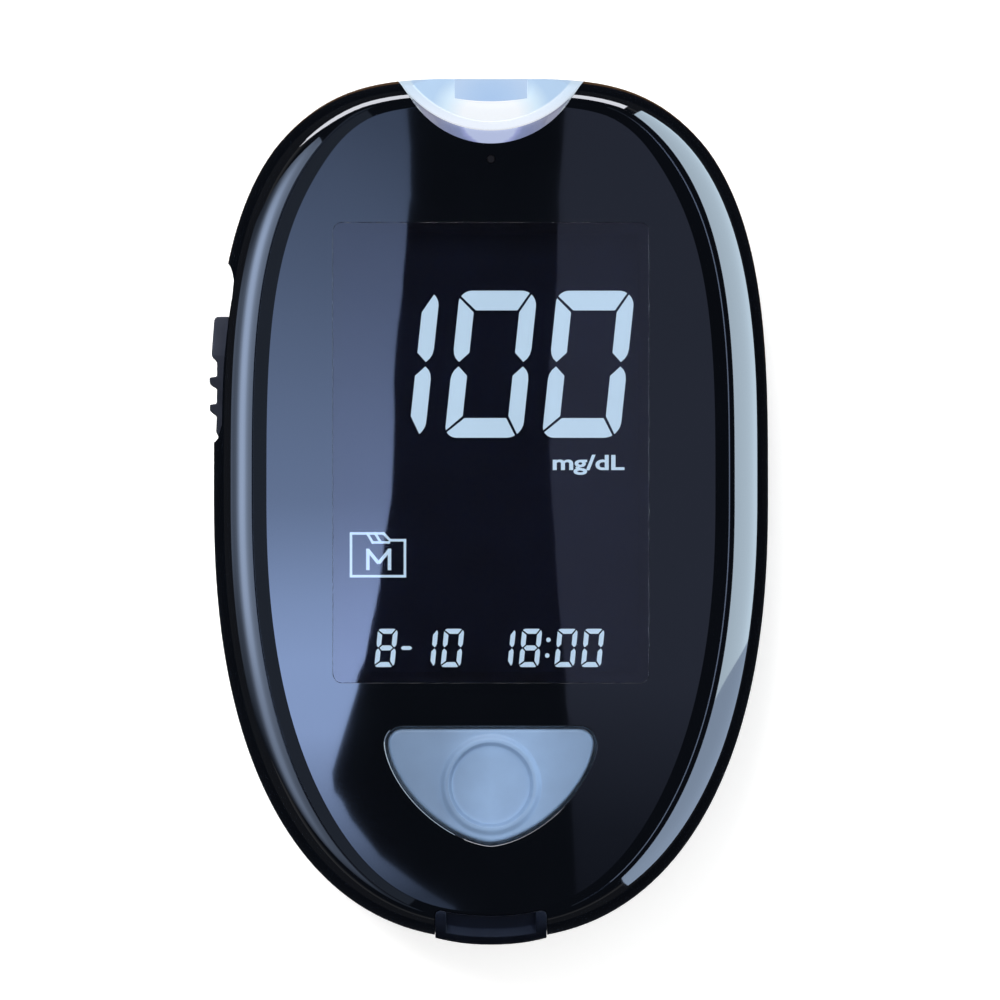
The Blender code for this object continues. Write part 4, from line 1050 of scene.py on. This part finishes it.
def unit_text():
    """The unit of the reading, as a thin plate."""
    start()
    bpy.ops.object.text_add(location=(0, 0, 0))
    made = bpy.context.object
    made.data.body = "mg/dL"
    made.data.size = 2.3 * mm
    made.data.offset = 0.055 * mm
    made.data.extrude = 0.015 * mm
    bpy.ops.object.convert(target="MESH")
    bpy.ops.object.mode_set(mode="EDIT")
    bpy.ops.mesh.select_all(action="SELECT")
    bpy.ops.mesh.remove_doubles(threshold=0.001 * mm)
    bpy.ops.object.mode_set(mode="OBJECT")
    low = Vector([min(v.co[axis] for v in made.data.vertices) for axis in range(3)])
    high = Vector([max(v.co[axis] for v in made.data.vertices) for axis in range(3)])
    wide, tall = 7.9 * mm / (high.x - low.x), 2.22 * mm / (high.y - low.y)
    made.data.transform(
        Matrix.Translation((6.8 * mm, 4.11 * mm, lcd_top + 0.025 * mm))
        @ Matrix.Diagonal((wide, tall, 1, 1)) @ Matrix.Translation((-low.x, -low.y, 0)))
    return made


class METER_OT_main_button(bpy.types.Operator):
    """Soft half-moon button with its raised ring and dish"""

    bl_idname = "meter.main_button"
    bl_label = "Main button"

    def execute(self, context):
        edge, sink = sizes().button_edge, sizes().button_recess
        flange, flange_low, flange_top = 0.9 * mm, 22.1 * mm, 22.9 * mm
        foot, stem_radius, steps = 5.68 * mm, 1.8 * mm, 6
        rings = [level(moon(flange), flange_low), level(moon(flange), flange_top),
                 level(moon(0), flange_top)]
        for step in range(steps + 1):
            angle = math.pi / 2 * step / steps
            rings.append(lifted(moon(edge * (math.cos(angle) - 1)),
                                -sink - edge * (1 - math.sin(angle))))
        rim = moon(-edge)
        for share in (0.3, 0.6):
            rings.append(lifted([
                (x + share * (p.x - x), y + share * (p.y - y))
                for p, (x, y) in zip(circle(foot, 0, (0, ring_y), ring_steps), rim)], -sink))
        for radius in (5.66, 5.55, 5.42, 5.3, 5.18, 5.06, 4.94, 4.82, 4.72, 4.62, 4.52, 4.42, 4.3,
                       4.15, 3.8, 3.2, 2.5, 1.7, 0.9):
            rings.append(lifted(circle(radius * mm, 0, (0, ring_y), ring_steps),
                                ring_height(radius * mm) - sink))
        button = skin("half_moon_button", rings, point=True)
        stem = turned("stem", [(stem_radius, 19.4 * mm), (stem_radius, 22.4 * mm)], (0, ring_y, 0))
        combine(button, "UNION", stem)
        finished(button, "soft_touch_silicone", "main_button", "button_rubber", "main_button",
                 weighted=False)
        return {"FINISHED"}


def ring_height(radius):
    """Height of the button's ring and dish above its top, at a distance from their centre."""
    def ease(value, low, high):
        share = min(max((value - low) / (high - low), 0), 1)
        return share * share * (3 - 2 * share)

    rise, dish = sizes().ring_rise, sizes().dish_depth
    outside = 1 - ease(radius, 4.95 * mm, 5.68 * mm)
    inside = ease(radius, 4.2 * mm, 4.75 * mm)
    bowl = -dish * (0.5 + 0.5 * (1 - min(radius / (4.3 * mm), 1) ** 2))
    return rise * outside * inside + bowl * (1 - inside)


class METER_OT_strip_port(bpy.types.Operator):
    """Lit strip port with its lip, scoop and block, and the connector behind it"""

    bl_idname = "meter.strip_port"
    bl_label = "Strip port"

    def execute(self, context):
        profile = [(12.2, port_low.z / mm), (12.2, 23.50), (12.16, 23.62), (12.08, 23.69),
                   (11.95, 23.70), (11.32, 23.70), (11.2, 23.66), (11.12, 23.57), (7.1, 19.75),
                   (6.7, 19.45), (6.2, 19.3), (1, 19.3)]
        guide = turned("port_guide", in_mm(profile), (0, port_y, 0), count=port_steps, point=True)
        steps, cap_z = 16, 22.3 * mm
        edge = [(4.05 - 8.1 * at / steps, 45.72 - 0.35 * (1 - (2 * at / steps - 1) ** 2))
                for at in range(steps + 1)]
        points = in_mm(edge + [(-4.1, 50), (4.1, 50)])
        raised = skin("port_block", [level(points, z) for z in (16.7 * mm, cap_z)])
        round_edges(raised, 0.1 * mm)
        combine(guide, "UNION", raised)
        combine(guide, "INTERSECT", skin("port_form", front_rings(), point=True))
        combine(guide, "DIFFERENCE", block("port_slot", (-3.7 * mm, 41 * mm, 17.0 * mm),
                                           (3.7 * mm, 50 * mm, 18.9 * mm), 0.25 * mm))
        give(guide, "opal_polycarbonate", "frosted_polycarbonate")
        for face in guide.data.polygons:
            on_cap = face.normal.z > 0.9 and abs(face.center.z - cap_z) < 0.1 * mm
            face.material_index = int(on_cap)
        finished(guide, None, "case", "port_light", "port_light_guide")
        dress("natural_white_abs", "port_led_left", "port_led_right")
        dress("moulded_black_epoxy", "strip_connector")
        dress("gold_plated_spring", "strip_contacts")
        return {"FINISHED"}


class METER_OT_indicator(bpy.types.Operator):
    """Smoked light pipe that ends as a small dot in the face"""

    bl_idname = "meter.indicator"
    bl_label = "Indicator"

    def execute(self, context):
        low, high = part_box("indicator_window")
        top = dome(0, dot_y) - 0.04 * mm
        pipe = turned("indicator_pipe", [
            (0.6 * mm, low.z), (0.6 * mm, 22.0 * mm), (1.5 * mm, 22.0 * mm), (1.5 * mm, high.z),
            (0.44 * mm, high.z), (0.44 * mm, top - 0.05 * mm), (0.38 * mm, top)],
            (0, dot_y, 0), count=32)
        finished(pipe, "smoked_acrylic", "case", "lens_clear", "indicator_window")
        return {"FINISHED"}


class METER_OT_ejector(bpy.types.Operator):
    """Ribbed slider at the left side, with its arm and spring"""

    bl_idname = "meter.ejector"
    bl_label = "Ejector"

    def execute(self, context):
        low, high = slider_low.y, slider_high.y
        inner, rib, top, bank = -29.0 * mm, -31.2 * mm, high - 0.15 * mm, high - 4.5 * mm
        z, half = 17.8 * mm, 3.3 * mm
        points = [(inner, low), (inner, top)]
        points += in_mm((
            (-30.25, top / mm), (-30.5, top / mm - 0.1), (-30.66, top / mm - 0.36), (-30.94, 17.5),
            (-30.88, 17.15), (-30.36, 16.6)))
        for middle, plate in ((14.33 * mm, -30.38 * mm), (11.33 * mm, -30.44 * mm)):
            points += [(plate, middle + 0.68 * mm), (rib, middle + 0.58 * mm),
                       (rib, middle - 0.1 * mm), (rib + 0.3 * mm, middle - 0.4 * mm),
                       (plate, middle - 0.7 * mm)]
        points += [(-30.53 * mm, low + 0.7 * mm), (-30.2 * mm, low)]
        slider = skin("ribbed_slider", [level(points, z - half), level(points, z + half)])
        tear = [(high + mm, z - half - mm), (high + mm, z + half + mm), (bank, z + half),
                (low, z + half / 3), (low, z - half / 3), (bank, z - half)]
        combine(slider, "INTERSECT", skin("tear", [
            [Vector((x, *place)) for place in tear] for x in (-35 * mm, -28 * mm)]))
        round_edges(slider, sizes().slider_edge, angle=25)
        combine(slider, "UNION", block("shank", (-29.3 * mm, 12.69 * mm, 17.3 * mm),
                                       (-26.6 * mm, 17.29 * mm, 18.3 * mm)))
        finished(slider, "etched_nylon", "ejector", "slider_satin", "ejector_slider")
        dress("natural_white_abs", "ejector_arm")
        dress("nickel_plated_steel", "ejector_spring")
        return {"FINISHED"}


class METER_OT_flap(bpy.types.Operator):
    """Flap over the data socket with its thumb recess, and the socket"""

    bl_idname = "meter.flap"
    bl_label = "Flap"

    def execute(self, context):
        half, foot = flap_high.x, flap_hinge[2]
        outward, upward, bead_radius = 0.62 * mm, 0.15 * mm, 0.7 * mm

        def profile(loss):
            outer = flap_curve(outward, upward, flap_reach - loss)
            inner = flap_curve(-flap_wall, -flap_wall_rise, flap_reach - loss)
            return ([(tail_y, foot), (tail_y - outward, 9.8 * mm)] + outer + inner[::-1]
                    + [(inner[0][0], foot)])

        flap = bent("socket_flap", profile, half, 0.8 * mm)
        recess = bent("recess", lambda loss: in_mm((
            (-44.55, 27), (-44.55, 25.0), (-45.85, 24.05), (-46.05, 23.96), (-48.6, 24.12),
            (-48.6, 27))), 4.95 * mm, 0.5 * mm)
        combine(flap, "DIFFERENCE", recess)
        round_edges(flap, 0.1 * mm)
        combine(flap, "UNION", turned("bead", [(bead_radius, -half), (bead_radius, half)],
                                      flap_hinge, count=32, along_x=True))
        finished(flap, "satin_navy_abs", "data_port_cover", "flap_satin", "data_port_cover")
        dress("nickel_plated_steel", "data_socket")
        return {"FINISHED"}


class METER_OT_battery_door(bpy.types.Operator):
    """Battery door with its ribbed grip, tongues and latch"""

    bl_idname = "meter.battery_door"
    bl_label = "Battery door"

    def execute(self, context):
        door = skin("bay_door", [level(door_outline(0), z) for z in (-overrun, 2.0 * mm)])
        combine(door, "INTERSECT", skin("door_form", back_rings(lift=0.2 * mm)))
        round_edges(door, 0.18 * mm)
        grip = skin("grip", [level(rounded_rectangle(*(part * mm for part in sides)), z * mm)
                             for *sides, z in ((6, -33.6, -25.2, 2, -2),
                                               (6, -33.6, -25.2, 2, 0.2),
                                               (5.6, -33.2, -25.6, 1.7, 0.75))])
        combine(door, "DIFFERENCE", grip)
        ribs = [block("rib", (-4.6 * mm, y, 0.32 * mm),
                      (4.6 * mm, y + sizes().grip_rib, 1.2 * mm), 0.16 * mm)
                for y in ((-32 + 1.4 * at) * mm for at in range(5))]
        tongues = [block("tongue", (x - 1.1 * mm, 13.1 * mm, 1.1 * mm),
                         (x + 1.1 * mm, 14.6 * mm, 2.7 * mm)) for x in (-tongue_x, tongue_x)]
        hooks = [block("hook", (x - 1.1 * mm, 13.1 * mm, 2.15 * mm),
                       (x + 1.1 * mm, 16.8 * mm, 3.15 * mm), 0.2 * mm)
                 for x in (-tongue_x, tongue_x)]
        latch = block("latch", (-2.5 * mm, -36.9 * mm, 1.1 * mm), (2.5 * mm, -36.1 * mm, 4.0 * mm),
                      0.15 * mm)
        combine(door, "UNION", joined(ribs), joined(tongues), joined(hooks), latch)
        finished(door, "spark_textured_abs", "battery_door", "case_satin", "battery_door")
        return {"FINISHED"}


class METER_OT_set_button(bpy.types.Operator):
    """Small dished button in the back"""

    bl_idname = "meter.set_button"
    bl_label = "Set button"

    def execute(self, context):
        low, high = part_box("set_button")
        face, end = low.z / mm, high.z / mm
        profile = [(0.8, face + 0.35), (1.6, face + 0.22), (2.1, face + 0.06), (2.3, face),
                   (2.44, face + 0.06), (2.5, face + 0.2), (2.5, 2.1), (3.5, 2.1), (3.5, 2.9),
                   (1.5, 2.9), (1.5, end)]
        made = turned("set_key", in_mm(profile), under("set_button"))
        finished(made, "moulded_silicone", "set_button", "set_rubber", "set_button")
        dress("moulded_black_epoxy", "set_switch")
        return {"FINISHED"}


class METER_OT_screws(bpy.types.Operator):
    """Case screws with crossed slots in their heads"""

    bl_idname = "meter.screws"
    bl_label = "Screws"

    def execute(self, context):
        low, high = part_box("case_screw_1")
        spot, head, tip = under("case_screw_1"), low.z / mm, high.z / mm
        slot_long, slot_wide, slot_top = 1.15 * mm, 0.22 * mm, low.z + 0.75 * mm
        profile = [(0.6, head), (1.2, head + 0.03), (1.6, head + 0.12), (1.82, head + 0.3),
                   (1.9, head + 0.55), (1.9, head + 1.3), (0.9, head + 1.3),
                   (0.9, tip - 0.9), (0.45, tip)]
        first = turned("crossed_screw_1", in_mm(profile), spot, count=48)
        combine(first, "DIFFERENCE", *[
            block("cross", (spot.x - x, spot.y - y, low.z - mm), (spot.x + x, spot.y + y, slot_top))
            for x, y in ((slot_long, slot_wide), (slot_wide, slot_long))])
        made = [first]
        for number, node in enumerate(case_screws[1:], 2):
            copy = first.copy()
            copy.data = first.data.copy()
            copy.name = copy.data.name = f"crossed_screw_{number}"
            context.scene.collection.objects.link(copy)
            copy.data.transform(Matrix.Translation(under(node) - spot))
            made.append(copy)
        for screw, node in zip(made, case_screws):
            finished(screw, "nickel_plated_steel", "case", "nickel_steel", node)
        dress("nickel_plated_steel", "board_screw_1", "board_screw_2", "board_screw_3")
        return {"FINISHED"}


class METER_OT_inside(bpy.types.Operator):
    """Batteries, contacts, board and components"""

    bl_idname = "meter.inside"
    bl_label = "Inside"

    def execute(self, context):
        for side in ("left", "right"):
            dress("printed_cell_film", "battery_" + side)
            dress("nickel_plated_steel", "battery_spring_" + side, "battery_plate_" + side)
        dress("nickel_plated_steel", "battery_bridge_plate")
        dress("solder_masked_laminate", "main_board")
        dress("moulded_black_epoxy", "main_chip", "sensor_chip", "buzzer", "main_switch")
        return {"FINISHED"}


def bare_tree(owner):
    """The emptied node tree of a material or world."""
    owner.use_nodes = True
    owner.node_tree.nodes.clear()
    return owner.node_tree


def glowing(panel, shade, strength, *fades):
    """Makes a panel of the studio glow, in reflections alone, with fades along given axes."""
    made = bpy.data.materials.new(panel.name)
    tree = bare_tree(made)
    place = add_node(tree, "ShaderNodeTexCoord").outputs["Object"]
    glow = add_node(tree, "ShaderNodeEmission", {"Color": rgba(shade), "Strength": strength})
    amount = strength
    for axis, marks in fades:
        first, last = marks[0][0], marks[-1][0]
        fade = ramp(tree, share_along(tree, place, axis, first, last),
                    [((where - first) / (last - first), grey(bright)) for where, bright in marks])
        amount = add_node(tree, "ShaderNodeMath", {0: fade, 1: amount},
                          operation="MULTIPLY").outputs[0]
        tree.links.new(amount, glow.inputs["Strength"])
    add_node(tree, "ShaderNodeOutputMaterial", {"Surface": glow.outputs[0]})
    panel.data.materials.append(made)
    panel.visible_camera = panel.visible_diffuse = False
    panel.visible_shadow = panel.visible_transmission = False


def card(name, points, shade, strength, *fades):
    """A flat glowing panel from its corners."""
    glowing(skin(name, [[Vector(point) for point in points]]), shade, strength, *fades)


class METER_OT_stage(bpy.types.Operator):
    """Pale floor, soft studio light and the camera straight above the meter"""

    bl_idname = "meter.stage"
    bl_label = "Stage"

    def execute(self, context):
        scene = context.scene
        floor_reach, floor_glow, flag_reach, flag_foot = 6, 0.52, 2.9, 0.0002
        floor = skin("floor", [circle(floor_reach, 0, count=96)])
        made = bpy.data.materials.new("pale_floor")
        tree = bare_tree(made)
        path = add_node(tree, "ShaderNodeLightPath")
        seen = add_node(tree, "ShaderNodeMath", {
            0: path.outputs["Is Camera Ray"], 1: path.outputs["Is Glossy Ray"]}, operation="ADD")
        seen = add_node(tree, "ShaderNodeMath", {
            0: seen.outputs[0], 1: path.outputs["Is Transmission Ray"]}, operation="ADD",
            use_clamp=True)
        light = add_node(tree, "ShaderNodeMath", {0: seen.outputs[0], 1: floor_glow},
                         operation="MULTIPLY")
        matt = add_node(tree, "ShaderNodeBsdfDiffuse", {"Color": rgba(colour("f6f5f3"))})
        glow = add_node(tree, "ShaderNodeEmission", {"Strength": light.outputs[0]})
        both = add_node(tree, "ShaderNodeAddShader", {0: matt.outputs[0], 1: glow.outputs[0]})
        add_node(tree, "ShaderNodeOutputMaterial", {"Surface": both.outputs[0]})
        floor.data.materials.append(made)

        scene.world = bpy.data.worlds.new("studio")
        tree = bare_tree(scene.world)
        place = add_node(tree, "ShaderNodeTexCoord").outputs["Generated"]
        split = add_node(tree, "ShaderNodeSeparateXYZ", {"Vector": place})
        sky = ramp(tree, split.outputs["Z"], ((0.15, rgba(colour("f2f3f5"))),
                                              (0.6, rgba(colour("202226")))))
        back = add_node(tree, "ShaderNodeBackground", {"Color": sky, "Strength": 1.0})
        add_node(tree, "ShaderNodeOutputWorld", {"Surface": back.outputs[0]})

        # The cards' corners are in metres, and lie where the rim and face mirror them to the eye
        cool, cold = colour("c4daff"), colour("adc9ff")
        side = [(-0.0312, 0.30), (-0.0312, 0.1522), (-0.0343, 0.1297), (-0.0611, 0.0798),
                (-0.0749, 0.0414), (-0.0787, 0.019), (-0.081, 0.0031), (-0.0856, -0.0107),
                (-0.0898, -0.0323), (-0.0948, -0.047), (-0.0996, -0.0621), (-0.1053, -0.0744),
                (-0.1164, -0.0939), (-0.1232, -0.1064), (-0.1212, -0.1138), (-0.1144, -0.1181),
                (-0.1068, -0.1256), (-0.0801, -0.1423), (-0.0464, -0.1556), (-0.0201, -0.1654),
                (0.0, -0.19), (-0.02, -0.182), (-0.05, -0.168), (-0.085, -0.153),
                (-0.105, -0.143), (-0.125, -0.13), (-0.19, -0.09), (-0.19, 0.30)]
        card("overhead_card", [(x, y, 1) for x, y in side], cold, 6.8,
             ("Y", [(-0.16, 0.1), (-0.14, 0.3), (-0.115, 0.65), (-0.09, 1.0), (-0.06, 1.0),
                    (-0.036, 0.85), (0.001, 0.52), (0.041, 0.40), (0.08, 0.31), (0.131, 0.22),
                    (0.16, 0.17), (0.3, 0.1)]))
        card("left_card", [(-2.3, -0.75, 1), (-0.335, -0.66, 1), (-0.335, 0.35, 1),
                           (-0.62, 0.65, 1), (-1.0, 0.72, 1), (-2.3, 0.85, 1)], cool, 6.5,
             ("X", [(-2.3, 0.22), (-1.6, 0.18), (-1.28, 0.24), (-1.07, 0.51), (-0.9, 0.92),
                    (-0.757, 1.0), (-0.64, 0.89), (-0.536, 0.58), (-0.443, 0.43), (-0.335, 0.35)]),
             ("Y", [(-0.75, 0.0), (-0.6, 0.15), (-0.39, 0.42), (-0.3, 0.48), (-0.21, 0.57),
                    (-0.1, 0.85), (0.0, 0.97), (0.27, 0.96), (0.4, 0.75), (0.55, 0.4),
                    (0.85, 0.2)]))
        card("left_sheen_card", [(-0.335, -0.66, 1), (-0.19, -0.64, 1), (-0.19, 0.6, 1),
                                 (-0.335, 0.62, 1)], cool, 0.27)
        card("right_card", [(0.5, -0.16, 1), (2.6, -0.42, 0.25), (2.6, 0.15, 0.13),
                            (2.6, 1.1, 0.42), (2.0, 2.0, 0.55), (1.42, 2.4, 0.74),
                            (0.5, 0.85, 1)],
             colour("d7edff"), 7.3, ("X", [(0.5, 0.85), (0.8, 0.9), (2.0, 1.05), (2.6, 1.0)]))
        card("lower_right_card", [(0.5, -0.16, 1), (0.5, -0.62, 1), (1.75, -2.2, 0.554),
                                  (2.1, -1.9, 0.429), (2.6, -1.0, 0.25), (2.6, -0.42, 0.25)],
             colour("c6deff"), 4.2, ("Y", [(-2.1, 0.95), (-0.9, 1.05), (-0.4, 0.98), (0.0, 0.95)]))
        card("right_sheen_card", [(x, y, 1) for x, y in (
            (0.0236, 0.25), (0.0236, 0.1532), (0.0236, 0.1305), (0.0319, 0.0844),
            (0.0452, 0.0209), (0.049, -0.006), (0.0509, -0.039), (0.054, -0.0716),
            (0.055, -0.25), (0.2, -0.25), (0.2, 0.25))], colour("c4d2ff"), 0.38,
             ("Y", [(-0.2, 0.1), (-0.13, 0.35), (-0.07, 0.95), (0.0, 1.0), (0.2, 0.9)]))
        card("head_strip", [(-2.5, 2, 1.5), (-0.55, 2, 1.0), (0.95, 2, 1.0), (0.95, 2, 2.1),
                            (-0.55, 2, 2.2), (-1.6, 2, 2.0)],
             colour("f4f6ff"), 9.0)
        warm = [p for p in outline(-18 * mm, 0.0004) if p.y > 15 * mm]
        card("warm_bounce", warm, colour("b08a68"), 0.35)
        card("floor_flag", circle(flag_reach, flag_foot, count=96), colour("aab4cc"), 0.03)
        flag = skin("dark_flag", [circle(flag_reach, z, count=96) for z in (1.5, flag_foot)],
                    filled=False)
        glowing(flag, colour("c8ccd8"), 0.09)

        for name, place, size, power in (("key", (-0.35, 0.65, 1.4), 0.7, 18),
                                         ("fill", (0.1, -0.1, 1.5), 1.3, 11)):
            lamp = bpy.data.lights.new(name, "AREA")
            lamp.shape = "DISK"
            lamp.size = size
            lamp.energy = power
            held = bpy.data.objects.new(name, lamp)
            held.location = place
            held.rotation_euler = (-Vector(place)).to_track_quat("-Z", "Y").to_euler()
            held.visible_glossy = held.visible_transmission = held.visible_camera = False
            scene.collection.objects.link(held)

        lens, away, eye_x, eye_y = 260, 0.80, 1.0 * mm, 1.33 * mm
        eye = bpy.data.cameras.new("camera")
        eye.lens = lens
        eye.sensor_width = 36
        eye.clip_start, eye.clip_end = 0.05, 50
        held = bpy.data.objects.new("camera", eye)
        held.location = (eye_x, eye_y, rim_z + away)
        scene.collection.objects.link(held)
        scene.camera = held
        scene.view_settings.view_transform = "Standard"
        return {"FINISHED"}


class METER_PT_pieces(bpy.types.Panel):
    """Sizes, colours and pieces of the meter"""

    bl_idname = "METER_PT_pieces"
    bl_label = "Blood glucose meter"
    bl_space_type = "VIEW_3D"
    bl_region_type = "UI"
    bl_category = "Meter"

    def draw(self, context):
        for group in (context.scene.meter_sizes, context.scene.meter_colours):
            for name in type(group).__annotations__:
                self.layout.prop(group, name)
        for operator in operators:
            self.layout.operator(operator.bl_idname)


operators = (METER_OT_stage, METER_OT_front_shell, METER_OT_back_shell, METER_OT_display,
             METER_OT_main_button, METER_OT_strip_port, METER_OT_indicator, METER_OT_ejector,
             METER_OT_flap, METER_OT_battery_door, METER_OT_set_button, METER_OT_screws,
             METER_OT_inside)
classes = (MeterSizes, MeterColours, *operators, METER_PT_pieces)


def register():
    for kind in classes:
        bpy.utils.register_class(kind)
    bpy.types.Scene.meter_sizes = bpy.props.PointerProperty(type=MeterSizes)
    bpy.types.Scene.meter_colours = bpy.props.PointerProperty(type=MeterColours)


def unregister():
    del bpy.types.Scene.meter_colours
    del bpy.types.Scene.meter_sizes
    for kind in reversed(classes):
        bpy.utils.unregister_class(kind)


def main():
    """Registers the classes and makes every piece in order."""
    register()
    for operator in operators:
        group, name = operator.bl_idname.split(".")
        getattr(getattr(bpy.ops, group), name)()


if __name__ == "__main__":
    main()
